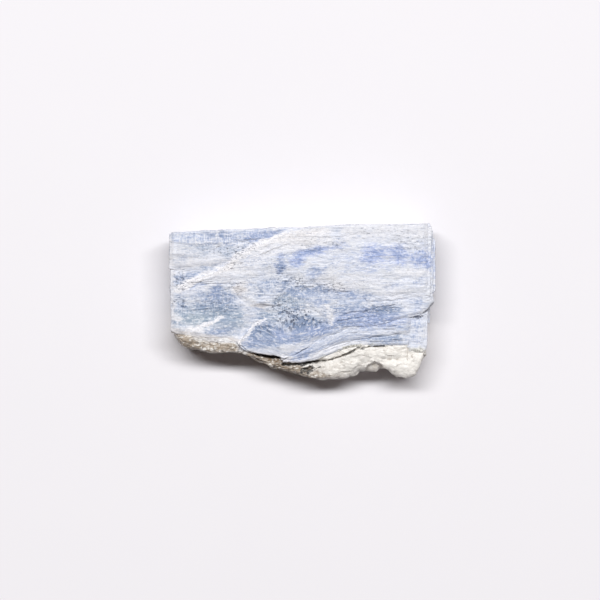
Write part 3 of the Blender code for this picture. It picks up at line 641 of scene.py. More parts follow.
def stairs(points, tread, seed):
    """The edge in steps: each point takes the Y of the middle of its tread, a stretch of the edge.

    The treads are of uneven length, and the steps fade out near both ends of the edge.
    """
    run = runs_of(points).sum()
    reached = np.linspace(0, run, len(points))
    uneven = layered(reached, reached * 0, ((STAIR_UNEVEN, STAIR_CELL * tread, 1.0),), seed)
    at = reached / tread + uneven
    shift = (stepped(at, STAIR_RISER) - at) * tread
    y = np.interp(reached + shift * fading(reached, run, STAIR_FADE), reached, points[:, 1])
    return np.column_stack([points[:, 0], y])


trial = toothed(np.column_stack([SAMPLE, 0 * SAMPLE]), 1)[:, 1]
print("a straight edge strays", round(trial.min(), 2), "to", round(trial.max(), 2), "mm")

# %% [markdown]
# ## From edges to a surface
#
# A thin blade's top is a patch stretched between its four edges, known as a Coons patch: the blend of
# front and back, plus the blend of left and right, less what the corners count twice. The sides go down
# from the patch's rim in rows, and one face closes the underside.

# %% A patch between four edges
SIDE_CALM = 0.8  # the sides of a patch run straight this near to its corners


def patch(front, back, left, right):
    """The Coons patch of four edges, as a grid of points (along, across, XY)."""
    u = np.linspace(0, 1, len(front))[:, None, None]
    v = np.linspace(0, 1, len(left))[None, :, None]
    across_blend = (1 - v) * front[:, None] + v * back[:, None]
    along_blend = (1 - u) * left[None, :] + u * right[None, :]
    corners = (
        (1 - u) * ((1 - v) * front[0] + v * back[0]) + u * ((1 - v) * front[-1] + v * back[-1])
    )
    return across_blend + along_blend - corners


def side_edge(start, end, count, seed):
    """An edge between two corners that wanders a little, mostly along X, and not at its ends."""
    share = np.linspace(0, 1, count)
    line = np.array(start) + (np.array(end) - start) * share[:, None]
    run = max(np.hypot(*(np.array(end) - start)), 0.01)
    return line + fading(share * run, run, SIDE_CALM)[:, None] * (toothed(line, seed) - line)


def rim_distance(grid):
    """Distance of each grid point from the rim, measured along the grid's rows and columns."""
    along = np.linalg.norm(np.diff(grid, axis=0), axis=2)
    over = np.linalg.norm(np.diff(grid, axis=1), axis=2)
    from_left = np.pad(np.cumsum(along, axis=0), ((1, 0), (0, 0)))
    from_front = np.pad(np.cumsum(over, axis=1), ((0, 0), (1, 0)))
    return np.minimum.reduce([
        from_left, from_left[-1:] - from_left, from_front, from_front[:, -1:] - from_front,
    ])


print("the sides of a patch run straight within", SIDE_CALM, "mm of its corners")


# %% Sides that step in and out leaf by leaf
SIDE_ROWS = np.array([0.02, 0.06, 0.12, 0.2, 0.3, 0.41, 0.53, 0.66, 0.8, 1.0])
LEAF_EDGE = 0.12  # how far the leaves stand in and out along a side
LEAF_NOISE = ((1.0, 2.2, 1.0), (0.5, 0.5, 1.0))  # height, and length of the cells along the side


def rim_of(index):
    """The rim of a grid of indices, counter-clockwise from the front left corner."""
    return np.concatenate([index[:, 0], index[-1, 1:], index[-2::-1, -1], index[0, -2:0:-1]])


def outward(ring):
    """Unit normals in the plane, pointing out of a counter-clockwise ring, smoothed over 7 points."""
    along = sum(np.roll(ring, -k, axis=0) - np.roll(ring, k, axis=0) for k in (1, 2, 3))
    along /= np.maximum(np.hypot(*along.T), 1e-6)[:, None]
    return np.column_stack([along[:, 1], -along[:, 0]])


def sides(ring, low, seed):
    """Rows of points down from a rim: they draw outwards by DRAFT and step in and out leaf by leaf."""
    out = outward(ring[:, :2])
    reached = np.cumsum(np.hypot(*(ring[:, :2] - np.roll(ring[:, :2], 1, axis=0)).T))
    rows = []
    for n, share in enumerate(SIDE_ROWS):
        z = ring[:, 2] + (low - ring[:, 2]) * share
        leaf = layered(reached, np.full(len(reached), float(n)), LEAF_NOISE, seed)
        push = DRAFT * share + LEAF_EDGE * leaf * min(1.0, n / 2)
        rows.append(np.column_stack([ring[:, :2] + out * push[:, None], z]))
    return rows


def quads_between(first, second):
    """Faces between two rings of indices, each wound so that it faces out when `second` is lower."""
    return np.stack([first, second, np.roll(second, -1), np.roll(first, -1)], axis=1)


def grid_quads(index):
    """Faces of a grid of indices, each wound so that it faces up."""
    corners = index[:-1, :-1], index[1:, :-1], index[1:, 1:], index[:-1, 1:]
    return np.stack(corners, axis=2).reshape(-1, 4)


print(len(SIDE_ROWS), "rows down each side")


# %% A whole thin blade
TOP_STEP = 0.16  # spacing of the points on the tops
EDGE_STRIDE = 6  # every sixth point of the front edge is enough to measure distances from
# The chipped strip along the rim: its least width, how much wider it gets, the cells of that change,
# and its depth at no width and for each millimetre of width.
RIM_LEAST, RIM_MORE, RIM_NOISE, RIM_DEPTHS = 0.10, 0.9, ((1.0, 1.8, 0.5),), (0.05, 0.12)
SINK_MIDDLE, SINK_NOISE = 0.5, ((1.3, 4.0, 2.5),)  # how uneven the sunk strip at the front is


def rim_loss(grid, seed):
    """How much has chipped off along the rim, over a strip whose width changes with noise."""
    wider = np.clip(layered(grid[:, :, 0], grid[:, :, 1], RIM_NOISE, seed), 0, 1)
    width = RIM_LEAST + RIM_MORE * wider
    return smooth_step(1 - rim_distance(grid) / width) * (RIM_DEPTHS[0] + RIM_DEPTHS[1] * width)


def sunk_depth(grid, front, seed, brow, ends):
    """How far the top has sunk along its front edge and at its ends, whichever is more."""
    x, y = grid[:, :, 0], grid[:, :, 1]
    _, least_drop, most_drop, width = brow
    away, _ = distance_to(front[::EDGE_STRIDE], x, y)
    uneven = smooth_step(SINK_MIDDLE + layered(x, y, SINK_NOISE, seed))
    sunk = (least_drop + (most_drop - least_drop) * uneven) * smooth_step(1 - away / width)
    for end, drop in zip((0, -1), ends):
        from_end = np.linalg.norm(grid - grid[end], axis=2)
        sunk = np.maximum(sunk, drop * smooth_step(1 - from_end / END_WIDTH))
    return sunk


def thin_blade(low, high, slope, back, front, seed, brow, ends=(0.0, 0.0)):
    """Points, faces and the last ring of a thin blade."""
    columns = int(max(runs_of(front).sum(), runs_of(back).sum()) / TOP_STEP) + 2
    front, back = (toothed(evenly(line, columns), seed) for line in (front, back))
    if brow[0]:
        front = stairs(front, brow[0], seed)
    rows = int(np.hypot(*(back - front).T).max() / TOP_STEP) + 2
    left, right = (side_edge(front[k], back[k], rows, seed) for k in (0, -1))
    grid = patch(front, back, left, right)

    middle = grid.reshape(-1, 2).mean(axis=0)
    plain = high + (grid - middle) @ np.array(slope)
    z = plain + relief(grid[:, :, 0], grid[:, :, 1], high, seed + 10)
    z = z - rim_loss(grid, seed + 9) - sunk_depth(grid, front, seed + 8, brow, ends)
    top = np.dstack([grid, z]).reshape(-1, 3)

    index = np.arange(columns * rows).reshape(columns, rows)
    ring = rim_of(index)
    points, faces, count = [top], [grid_quads(index)], len(top)
    for row in sides(top[ring], low, seed + 30):
        lower = count + np.arange(len(row))
        faces.append(quads_between(ring, lower))
        points.append(row)
        ring, count = lower, count + len(row)
    return np.vstack(points), np.vstack(faces), [ring[::-1]]


print("points on the thin blades:", TOP_STEP, "mm apart")

# %% [markdown]
# ## The thick blades
#
# Only the rims of the six thick blades show, so their tops are nested rings rather than full patches:
# the outline, drawn in step by step. The same rows of leaves go down their sides.

# %% Surface of a thick blade
RING_INSETS = (7.0, 4.0, 2.6, 1.9, 1.3, 0.9, 0.6, 0.4, 0.25, 0.12, 0.0)
FOOT_INSETS = (0.15, 1.0)
RIM_STEP = 0.2
RIM_START, RIM_RUN = 0.1, 0.4  # the relief grows with the inset plus the first, over the second
RIM_DROP = 0.06  # how much lower the very rim is


def drawn_in(outline, inset):
    """The outline scaled about its middle so that each side stands in by `inset`."""
    low, high = outline.min(axis=0), outline.max(axis=0)
    middle, half = (low + high) / 2, (high - low) / 2
    return middle + (outline - middle) * (1 - inset / half)


def blade_outline(edges, seed):
    """The closed outline of a thick blade, counter-clockwise, toothed at its splinters."""
    corners = [p for edge in edges for p in edge[:-1]]
    loop = corners + corners[:1]
    points = evenly(loop, int(runs_of(loop).sum() / RIM_STEP))[:-1]
    return toothed(points, seed)


def thick_blade(outline, low, high, seed):
    """Points, faces and the two closing rings of a thick blade."""
    rows = []
    for inset in RING_INSETS:
        flat = drawn_in(outline, inset + DRAFT / 2)
        height = relief(*flat.T, high, seed) * smooth_step((inset + RIM_START) / RIM_RUN)
        rows.append(np.column_stack([flat, high + height - RIM_DROP * (inset == 0)]))
    rows += sides(rows[-1], low, seed + 30)
    foot = rows[-1][:, :2]
    rows += [np.column_stack([drawn_in(foot, inset), np.full(len(foot), low)]) for inset in FOOT_INSETS]
    size = len(outline)
    rings = [n * size + np.arange(size) for n in range(len(rows))]
    faces = [quads_between(upper, lower) for upper, lower in zip(rings, rings[1:])]
    return np.vstack(rows), np.vstack(faces), [rings[0], rings[-1][::-1]]


print(len(RING_INSETS), "rings on the top of a thick blade")


# %% The six thick blades
def thick_blades():
    """Name, outline, levels and seed of each thick blade, from the base up."""
    low = 0.0
    for n, (share, back, left, right, front) in enumerate(BODY_BLADES):
        seed = BODY_SEED + n
        lean = lattice(np.zeros(3), seed)
        x_left, x_right = LEFT_END + left, RIGHT_END - right
        edges = (
            ((x_left + lean, front), (x_right + lean, front)),
            ((x_right + lean, front), (x_right, BACK_RIGHT - back)),
            ((x_right, BACK_RIGHT - back), (x_left, BACK_LEFT - back)),
            ((x_left, BACK_LEFT - back), (x_left + lean, front)),
        )
        high = share * BODY_TOP
        yield f"thick_blade_{n + 1}", blade_outline(edges, seed), low, high, seed
        low = high - BODY_OVERLAP
    edges = (
        SHOWN_FRONT, SHOWN_RIGHT, (SHOWN_RIGHT[-1], (LEFT_END, BACK_LEFT)),
        ((LEFT_END, BACK_LEFT), SHOWN_LEFT, SHOWN_FRONT[0]),
    )
    yield "thick_blade_6", blade_outline(edges, SHOWN_SEED), low, BODY_TOP, SHOWN_SEED


print("their tops, in mm:", [round(high, 1) for _, _, _, high, _ in thick_blades()])

# %% [markdown]
# ## Slivers
#
# Narrow slivers of blade stand along the ledges, where the stone has splintered. A sliver is a patch
# like a thin blade, between a pointed front edge and a pointed back edge. All of them are one piece.

# %% Slivers
# X, Y, level, length and slope of each, then the shares of its length and width at its corners.
SLIVERS = (
    (-24.0, 5.9, 11.87, 8.0, 0.30), (-15.0, 9.4, 12.02, 9.0, 0.42), (-6.5, 13.6, 12.21, 10.0, 0.40),
    (6.0, 16.6, 12.35, 13.0, 0.04), (17.0, 11.5, 12.12, 12.0, 0.0), (23.0, 4.2, 11.79, 14.0, -0.02),
    (14.0, 7.4, 11.93, 9.0, 0.02), (-22.0, 14.6, 11.85, 12.0, 0.03), (-13.0, 15.6, 11.85, 9.0, 0.04),
    (-24.0, -1.6, 11.35, 10.0, 0.05), (-9.0, 1.9, 11.6, 7.0, -0.05), (13.5, -2.4, 11.35, 11.0, 0.05),
    (21.0, -1.6, 11.35, 10.0, 0.06), (17.5, -4.4, 11.3, 12.0, 0.13), (-10.5, -9.6, 11.6, 8.0, 0.22),
    (2.5, -11.9, 10.95, 9.0, 0.36), (20.5, -6.6, 10.95, 8.0, 0.06), (21.5, -9.6, 10.6, 8.0, 0.02),
)
SLIVER_FRONT = ((-0.5, 0.1), (-0.28, -0.5), (0.2, -0.44), (0.5, -0.1))
SLIVER_BACK = ((-0.5, 0.1), (-0.2, 0.38), (0.24, 0.5), (0.5, -0.1))
SLIVER_WIDTH, SLIVER_SINK = 0.9, 0.5
SLIVER_RISES = (0.07, 0.10, 0.13)
SLIVER_DROPS, SLIVER_BROW = (0.6, 1.4), 0.45  # least and most drop, in rises, and the strip's width


def sliver(x, y, level, length, slope, rise, seed):
    """Points, faces and closing rings of one sliver."""
    front, back = (
        [(x + a * length, y + b * SLIVER_WIDTH + slope * a * length) for a, b in edge]
        for edge in (SLIVER_FRONT, SLIVER_BACK)
    )
    brow = (0.0, *(drop * rise for drop in SLIVER_DROPS), SLIVER_BROW)
    return thin_blade(level - SLIVER_SINK, level + rise, (0.0, 0.0), back, front, seed, brow)


def merged(parts):
    """Several sets of points, faces and closing rings as one."""
    points, faces, rings, count = [], [], [], 0
    for part_points, part_faces, part_rings in parts:
        points.append(part_points)
        faces.append(part_faces + count)
        rings += [ring + count for ring in part_rings]
        count += len(part_points)
    return np.vstack(points), np.vstack(faces), rings


print(len(SLIVERS), "slivers, the longest", max(row[3] for row in SLIVERS), "mm")

# %% [markdown]
# ## Making the mesh
#
# One function puts points and faces into a mesh, hangs the piece under the root, hides the imported
# solid that it stands for, and stores shares from 0 to 1 as attributes, which the materials read. Two
# shares come from the shape itself: how far a point lies in a hollow, and how steep the stone is there.

# %% Mesh, attributes and the solids they stand for
STEEP_START, STEEP_RUN = 0.85, 0.5  # how upright a normal still counts as level, and the fade below it
SHARP_ANGLE = 50  # degrees between two faces that meet at a sharp edge


def new_object(name, data):
    """A new object with its data, shown in the scene."""
    made = bpy.data.objects.new(name, data)
    bpy.context.scene.collection.objects.link(made)
    return made


def hollow_share(points, faces, rounds=6, depth=0.12):
    """How far each point lies below the smoothed surface, 0 to 1, for dirt and shade.

    The surface is smoothed by taking the mean of each point's neighbours, `rounds` times.
    """
    starts = faces[:, (0, 1, 2, 3)].ravel()
    ends = faces[:, (1, 2, 3, 0)].ravel()
    links = np.concatenate([starts, ends]), np.concatenate([ends, starts])
    count = np.maximum(np.bincount(links[0], minlength=len(points)), 1)
    smooth = points[:, 2]
    for _ in range(rounds):
        smooth = np.bincount(links[0], weights=smooth[links[1]], minlength=len(points)) / count
    return np.clip((smooth - points[:, 2]) / depth, 0, 1)


def steep_share(mesh):
    """How steep the surface is at each point, 0 to 1, from how little its normal points up or down."""
    normals = np.zeros(3 * len(mesh.vertices), np.float32)
    mesh.vertex_normals.foreach_get("vector", normals)
    return smooth_step((STEEP_START - np.abs(normals[2::3])) / STEEP_RUN)


def make_piece(name, parts, node, shares):
    """A closed mesh object from points in millimetres, four-sided faces and closing rings.

    Its attributes are the given shares and how steep it is.
    """
    points, faces, rings = parts
    mesh = bpy.data.meshes.new(name)
    corners = np.concatenate([faces.ravel(), *rings])
    totals = np.concatenate([np.full(len(faces), 4), [len(ring) for ring in rings]]).astype(int)
    mesh.vertices.add(len(points))
    mesh.vertices.foreach_set("co", (points * MM).astype(np.float32).ravel())
    mesh.loops.add(len(corners))
    mesh.loops.foreach_set("vertex_index", corners.astype(np.int32))
    mesh.polygons.add(len(totals))
    mesh.polygons.foreach_set("loop_start", np.concatenate([[0], np.cumsum(totals)[:-1]]))
    mesh.polygons.foreach_set("loop_total", totals)
    mesh.update(calc_edges=True)
    mesh.validate()
    for share, values in {**shares, "steep": steep_share(mesh)}.items():
        layer = mesh.attributes.new(share, "FLOAT", "POINT")
        layer.data.foreach_set("value", values.astype(np.float32))
    mesh.shade_smooth()
    mesh.set_sharp_from_angle(angle=np.radians(SHARP_ANGLE))
    piece = new_object(name, mesh)
    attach(piece, "root")
    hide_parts(node)
    print(name, len(points), "points")
    return piece


print("edges are sharp from", SHARP_ANGLE, "degrees")


# %% Build the kyanite
BLADE_SHIFT = 2.6  # how far the colours move along X, for each millimetre down
KYANITE_SPOTS = {"stain": STAINS, "speckled": SPECKLES, "parted": PARTED, "cream": CREAM}


def kyanite_piece(name, parts, shift=0.0):
    """A piece of kyanite with its colour shares, its hollows and its fibre direction.

    The colour shares are those of the place `shift` further along X.
    """
    points, faces, _ = parts
    x, y = points[:, 0] + shift, points[:, 1]
    blue, violet = blue_share(x, y)
    shares = {
        "blue": blue, "violet": violet, "crushed": crushed_share(x, y),
        **{share: spots_share(x, y, table) for share, table in KYANITE_SPOTS.items()},
        # how deep the cracks are, which sets the painted shade in them
        "crack": np.clip(cracks_depth(x, y, np.inf) / CRACK_FULL, 0, 1),
        "hollow": hollow_share(points, faces), "fibre": across(x, y) * MM,
    }
    return make_piece(name, parts, "kyanite_blades", shares)


kyanite = [
    kyanite_piece(name, thick_blade(outline, low, high, seed), BLADE_SHIFT * (BODY_TOP - high))
    for name, outline, low, high, seed in thick_blades()
]
kyanite += [
    kyanite_piece(name, thin_blade(
        low, high, (slope_x, slope_y), back, front, PLATE_SEED + n, BROWS[name],
        SUNK_ENDS.get(name, (0.0, 0.0)),
    ))
    for n, (name, low, high, slope_x, slope_y, back, front) in enumerate(PLATES)
]
kyanite.append(kyanite_piece("slivers", merged(
    sliver(*row, SLIVER_RISES[n % len(SLIVER_RISES)], SLIVER_SEED + n) for n, row in enumerate(SLIVERS)
)))

# %% [markdown]
# ## The quartz
#
# The quartz fills the space in front of the blades and under their overhang. Its surface is a loop of
# points, in Y and Z, carried along X: out from the base, round the undercut to the widest line, over
# the crown to the blades, and down the steps under them. Lumps, grains and pits move it along its
# normals.

# %% Dimensions of the quartz
# X and Y of the widest line.
QUARTZ_FRONT = (
    (-32.4, -7.6), (-31.6, -8.9), (-29.9, -10.8), (-28.1, -11.8), (-25.6, -12.4), (-22.6, -12.8),
    (-19.4, -12.7), (-15.6, -12.8), (-13.6, -13.6), (-11.6, -14.6), (-9.6, -15.6), (-8.1, -16.6),
    (-5.1, -17.2), (-2.6, -17.8), (-0.6, -18.6), (1.9, -19.3), (4.9, -19.5), (8.1, -19.3),
    (10.6, -18.9), (12.6, -18.2), (13.9, -17.3), (15.4, -17.2), (16.9, -17.6), (18.6, -17.7),
    (19.5, -16.8), (20.6, -16.8), (21.6, -17.2), (22.4, -18.1), (24.4, -19.2), (26.1, -19.3),
    (27.6, -18.6), (28.9, -17.1), (29.6, -15.1), (30.2, -13.3),
)
# X, and the level of the crown's edge along the blades.
QUARTZ_LIP = (
    (-32.4, 9.8), (-30.5, 10.8), (-28.0, 11.15), (-19.0, 11.3), (-16.8, 11.0), (-15.0, 10.0), (-5.0, 9.7),
    (5.0, 9.9), (10.0, 10.2), (20.0, 10.3), (27.0, 10.4), (30.2, 9.8),
)
# X, and the level of the widest line.
QUARTZ_WAIST = (
    (-32.4, 2.0), (-29.4, 3.0), (-26.5, 5.2), (-15.0, 5.8), (-6.0, 5.0), (6.0, 4.8), (14.0, 5.9),
    (30.2, 6.0),
)
# X, and how far the quartz runs in under or up against the edge of the blades there.
QUARTZ_REACH = (
    (-32.4, 0.6), (-30.5, 1.0), (-17.5, 1.0), (-16.0, 0.4), (-14.5, 0.5), (0.0, 0.5), (3.0, 0.2),
    (14.0, 0.4), (30.2, 0.5),
)
# X, and the crown's section there: 1 if round, less if it stays high out to its edge.
QUARTZ_SHOULDER = (
    (-32.4, 0.6), (-30.4, 0.45), (-28.2, 0.32), (-17.0, 0.32), (-11.0, 0.40), (2.0, 0.36), (30.2, 0.38),
)
QUARTZ_UNDERCUT, UNDERCUT_BEND = 2.6, 1.7  # how far the base stands in, and how round the slope is
LEAST_WALL, LEAST_FOOT, LIP_DEPTH = 0.1, 1.0, 0.4
QUARTZ_SEAM = 0.1  # how far the quartz stays clear of the hidden fronts of the blades
QUARTZ_STEP = 0.14  # spacing of the loops
UNDERCUT_ROWS, CROWN_ROWS, END_ROWS = 34, 84, 22
EDGE_POINTS, EDGE_REACH = 300, 0.35  # points on a blade's edge, and how near in X they count
END_REACH, END_SIZE, END_CALM = 0.6, 0.002, 0.9  # bulge of an end, its last loop, and its roughness
LUMP_FADE = 1.3  # the lumps fade out this near to the blades and to the base
print("quartz:", QUARTZ_FRONT[-1][0] - QUARTZ_FRONT[0][0], "mm long before its ends")


# %% Loops along the front
def shown_edge(outlines, x):
    """Y of the foremost blade edge at each X, a column like X."""
    points = np.concatenate(outlines)[None]
    near = np.abs(points[:, :, 0] - x) < EDGE_REACH
    return np.where(near, points[:, :, 1], np.inf).min(axis=1, keepdims=True)


def quartz_loops(outlines):
    """Loops of points (station, row, XYZ) and how far each row takes part in the lumps, 0 to 1."""
    left, right = QUARTZ_FRONT[0][0], QUARTZ_FRONT[-1][0]
    x = np.linspace(left, right, int((right - left) / QUARTZ_STEP) + 2)[:, None]
    widest, lip, waist, reach, shoulder = (
        np.interp(x, *np.array(line).T)
        for line in (QUARTZ_FRONT, QUARTZ_LIP, QUARTZ_WAIST, QUARTZ_REACH, QUARTZ_SHOULDER)
    )
    edge = shown_edge(outlines, x)
    fronts = [front - QUARTZ_SEAM for _, _, _, _, front in BODY_BLADES]
    floors = [share * BODY_TOP - BODY_OVERLAP - QUARTZ_SEAM for share, _, _, _, _ in BODY_BLADES]
    inside = np.minimum(edge + reach, fronts[-1] - LEAST_WALL)
    foot = np.minimum(widest + QUARTZ_UNDERCUT, fronts[0] - LEAST_FOOT)

    rise = np.linspace(0, 1, UNDERCUT_ROWS + 1)[None, :-1]
    u = np.linspace(0, 1, CROWN_ROWS)[None, :]
    # This spaces the rows evenly along the section, both up its side and over its flat top.
    turn = np.pi / 2 * u ** (1 / shoulder) / (u ** (1 / shoulder) + (1 - u) ** (1 / shoulder))
    shown_y = np.hstack([
        widest + (foot - widest) * (1 - rise) ** UNDERCUT_BEND,
        widest + (inside - widest) * (1 - np.cos(turn) ** shoulder),
    ])
    shown_z = np.hstack([waist * rise, waist + (lip - waist) * np.sin(turn) ** shoulder])
    roof = lip - LIP_DEPTH
    hidden_y, hidden_z = [inside], [np.minimum(floors[-1], roof)]
    for front, floor, lower in zip(fronts[::-1], floors[::-1], [*floors[-2::-1], 0.0]):
        hidden_y += [x * 0 + front, x * 0 + front]
        hidden_z += [np.minimum(floor, roof), x * 0 + lower]
    hidden_y.append((fronts[0] + foot) / 2)
    hidden_z.append(x * 0)
    y, z = np.hstack([shown_y, *hidden_y]), np.hstack([shown_z, *hidden_z])
    share = np.clip((inside - shown_y) / LUMP_FADE, 0, 1) * np.clip(shown_z / LUMP_FADE, 0, 1)
    share = np.hstack([share, np.zeros((len(x), y.shape[1] - share.shape[1]))])
    return np.dstack([x + y * 0, y, z]), share


def with_ends(grid, share):
    """The loops, and at each end ever smaller ones, drawn in to the widest line, that round it off."""
    turn = np.linspace(0, np.pi / 2, END_ROWS + 1)[1:, None, None]
    size, reach = np.cos(turn) + END_SIZE, END_REACH * np.sin(turn)
    ends = []
    for ring, side in ((grid[0], -1), (grid[-1], 1)):
        middle = ring[UNDERCUT_ROWS]
        ends.append(middle + (ring - middle) * size + reach * np.array([side, 0, 0]))
    fade = END_CALM * np.clip(2 * size[:, :, 0], 0, 1)
    calm = [fade * np.clip(end[:, :, 2] / LUMP_FADE, 0, 1) for end in ends]
    return (
        np.concatenate([ends[0][::-1], grid, ends[1]]),
        np.concatenate([calm[0][::-1], share, calm[1]]),
    )


print("loops of the quartz:", QUARTZ_STEP, "mm apart, with", UNDERCUT_ROWS + CROWN_ROWS, "rows that show")

# %% [markdown]
# ## The broken skin of the quartz
#
# Sugary quartz breaks between its grains, so its skin is all small facets, with lumps where it held and
# pits where a piece came out. Each effect is a height along the surface's own normals, the coarse ones
# first, and the crevices along the blades are grooves on lines.

# %% Dimensions of its lumps, pits, crevices and grains
# X, Y, half length, half width, turn and strength of the places where the grains stand out.
QUARTZ_ROUGH = (
    (-24.0, -11.0, 9.0, 3.0, -8, 1.0), (-6.0, -15.4, 8.0, 2.5, -20, 1.0), (1.5, -17.0, 3.0, 2.0, 0, 1.0),
)
# X, Y, half length, half width and depth of the places where a piece has broken out.
QUARTZ_PITS = (
    (18.2, -17.4, 2.5, 2.3, 1.5), (0.7, -17.0, 0.9, 0.5, 0.9), (1.9, -16.6, 0.6, 0.4, 0.8),
    (-27.0, -11.0, 1.6, 1.2, 0.3),
)
# Line, half width and depth of the grooves, most of them along the edge of the blades.
QUARTZ_CRACKS = (
    (((5.4, -14.9), (8.1, -14.2), (11.1, -13.2), (13.1, -12.1), (14.2, -11.6)), 0.21, 1.2),
    (((13.6, -11.8), (14.4, -11.45), (16.0, -11.35), (17.2, -11.1), (20.6, -10.95),
      (25.4, -10.75)), 0.20, 0.9),
    (((-11.4, -13.1), (-9.4, -13.5), (-7.4, -13.8), (-5.4, -14.0)), 0.34, 1.2),
    (((-4.8, -15.7), (-3.0, -15.7), (-1.2, -15.5), (0.6, -15.3), (2.2, -15.1), (3.8, -14.95),
      (5.6, -14.8)), 0.36, 1.6),
)
QUARTZ_LUMPS, LUMP_LEVEL = ((6.0, 0.8, 11), (2.6, 0.3, 12)), 0.4  # size, rise and seed; value of no rise
# Size of a grain, how far it stands out, and seed.
COARSE_GRAIN, COARSE_RISE, COARSE_SEED = (3.4, 2.2, 2.2), 0.26, 301
FINE_GRAIN, FINE_RISE, FINE_SEED = (1.3, 0.5, 0.5), 0.17, 302
FINE_LEAST, FINE_MORE = 0.55, 0.45  # share of the fine grains' rise everywhere, and more where rough
PIT_CALM, PIT_WALL = 0.8, 8  # share of the unevenness that a pit loses, and how steep its wall is
print(len(QUARTZ_PITS), "pits and", len(QUARTZ_CRACKS), "crevices")


# %% Break the surface of the quartz
def normals_of(grid):
    """Unit normals of a grid of loops: the cross product of its two directions."""
    normal = np.cross(np.gradient(grid, axis=0), np.roll(grid, -1, axis=1) - np.roll(grid, 1, axis=1))
    return normal / np.maximum(np.linalg.norm(normal, axis=2, keepdims=True), 1e-9)


def pits_of(grid):
    """The share of each point that lies in a pit, and how deep the pit is there."""
    hollows = depths = np.zeros(grid.shape[:2])
    for x, y, half_length, half_width, depth in QUARTZ_PITS:
        away = np.hypot((grid[:, :, 0] - x) / half_length, (grid[:, :, 1] - y) / half_width)
        hollow = np.clip(1 - away**PIT_WALL, 0, 1)
        hollows, depths = np.maximum(hollows, hollow), np.maximum(depths, depth * hollow)
    return hollows, depths


def broken(grid, share):
    """The loops with lumps, pits, grooves, then coarse and fine grains; and each point's groove share."""
    normal = normals_of(grid)
    upper, points = normal[:, :, 2] > 0, grid.reshape(-1, 3)
    lumps = sum(
        rise * (np.abs(noise(points, size, seed)) - LUMP_LEVEL) for size, rise, seed in QUARTZ_LUMPS
    )
    hollows, depths = pits_of(grid)
    calm = 1 - PIT_CALM * hollows
    moved = grid + normal * (lumps.reshape(share.shape) * share * calm)[:, :, None]
    moved[:, :, 2] -= depths * share * upper
    grooves = share * 0
    for line, half_width, depth in QUARTZ_CRACKS:
        away, _ = distance_to(line, grid[:, :, 0], grid[:, :, 1])
        groove = bell(away, half_width) * upper
        moved[:, :, 2] -= depth * groove
        grooves = np.maximum(grooves, groove)
    coarse, fine = (
        grains(points, size, seed).reshape(share.shape)
        for size, seed in ((COARSE_GRAIN, COARSE_SEED), (FINE_GRAIN, FINE_SEED))
    )
    rough = FINE_LEAST + FINE_MORE * spots_share(grid[:, :, 0], grid[:, :, 1], QUARTZ_ROUGH)
    height = COARSE_RISE * coarse * calm + rough * FINE_RISE * fine
    moved += normals_of(moved) * (height * np.clip(share * 2, 0, 1))[:, :, None]
    return moved, grooves.ravel()


def quartz_parts(outlines):
    """Points, faces and closing rings of the quartz, and each point's groove share."""
    grid, grooves = broken(*with_ends(*quartz_loops(outlines)))
    size = grid.shape[1]
    rings = np.arange(grid.shape[0] * size).reshape(-1, size)
    faces = grid_quads(np.hstack([rings, rings[:, :1]]))
    return (grid.reshape(-1, 3), faces, [rings[0], rings[-1][::-1]]), grooves


print("grains up to", COARSE_GRAIN[0], "and", FINE_GRAIN[0], "mm long")


# %% Build the quartz
# X, Y, half length, half width, turn and strength of the brown and dark grey spots. The brown is iron
# stain, and in places painted shade below the ledges; the grey is dark specks, and painted shade in
# the crevices along the blades and below the ledges.
QUARTZ_BROWN = (
    (-22.6, -11.4, 6.0, 1.6, -3, 0.45), (-30.0, -9.8, 3.0, 2.0, -25, 0.48),
    (2.0, -18.6, 5.5, 0.9, 0, 0.40), (9.0, -18.2, 4.0, 0.7, 8, 0.15), (7.0, -16.2, 4.0, 1.2, 5, 0.16),
    (18.2, -16.4, 2.4, 1.2, 0, 0.20), (-9.5, -14.4, 7.0, 1.5, -22, 0.75),
    (-5.8, -14.7, 2.4, 0.8, -10, 0.6), (8.6, -13.6, 3.2, 0.7, 18, 0.08),
    (-1.6, -16.6, 3.4, 1.2, -15, 0.40), (20.0, -12.0, 6.0, 0.8, 0, 0.12),
)
QUARTZ_GREY = (
    (0.6, -17.1, 1.3, 0.8, 15, 1.0), (14.4, -11.8, 1.4, 0.3, 0, 0.6), (9.0, -13.8, 4.0, 0.18, 18, 0.5),
    (2.0, -16.5, 0.7, 0.4, 30, 0.9), (3.4, -16.7, 1.0, 0.6, 20, 0.7), (1.5, -15.4, 1.6, 0.35, 5, 0.9),
    (-2.8, -15.7, 2.6, 0.3, 3, 0.9), (1.8, -15.1, 2.2, 0.35, 9, 1.0), (17.8, -15.1, 1.9, 0.2, 0, 0.4),
)
# The same for the places where a pale film of kyanite covers the quartz.
QUARTZ_VEIL = ((-20.4, -9.6, 5.5, 0.6, -3, 0.6), (-15.2, -11.4, 1.6, 1.0, -50, 0.8))
QUARTZ_SPOTS = {"brown": QUARTZ_BROWN, "grey": QUARTZ_GREY, "rough": QUARTZ_ROUGH, "veil": QUARTZ_VEIL}


def quartz_piece(outlines):
    """The quartz with its shares of brown, grey, rough, veil, groove and hollow."""
    parts, grooves = quartz_parts(outlines)
    points, faces, _ = parts
    shares = {
        **{share: spots_share(*points.T[:2], table) for share, table in QUARTZ_SPOTS.items()},
        "groove": grooves, "hollow": hollow_share(points, faces),
    }
    return make_piece("quartz_matrix_rock", parts, "quartz_matrix", shares)


fronts = [evenly(front, EDGE_POINTS) for *_, front in PLATES]
quartz = quartz_piece([list(thick_blades())[-1][1], *fronts])
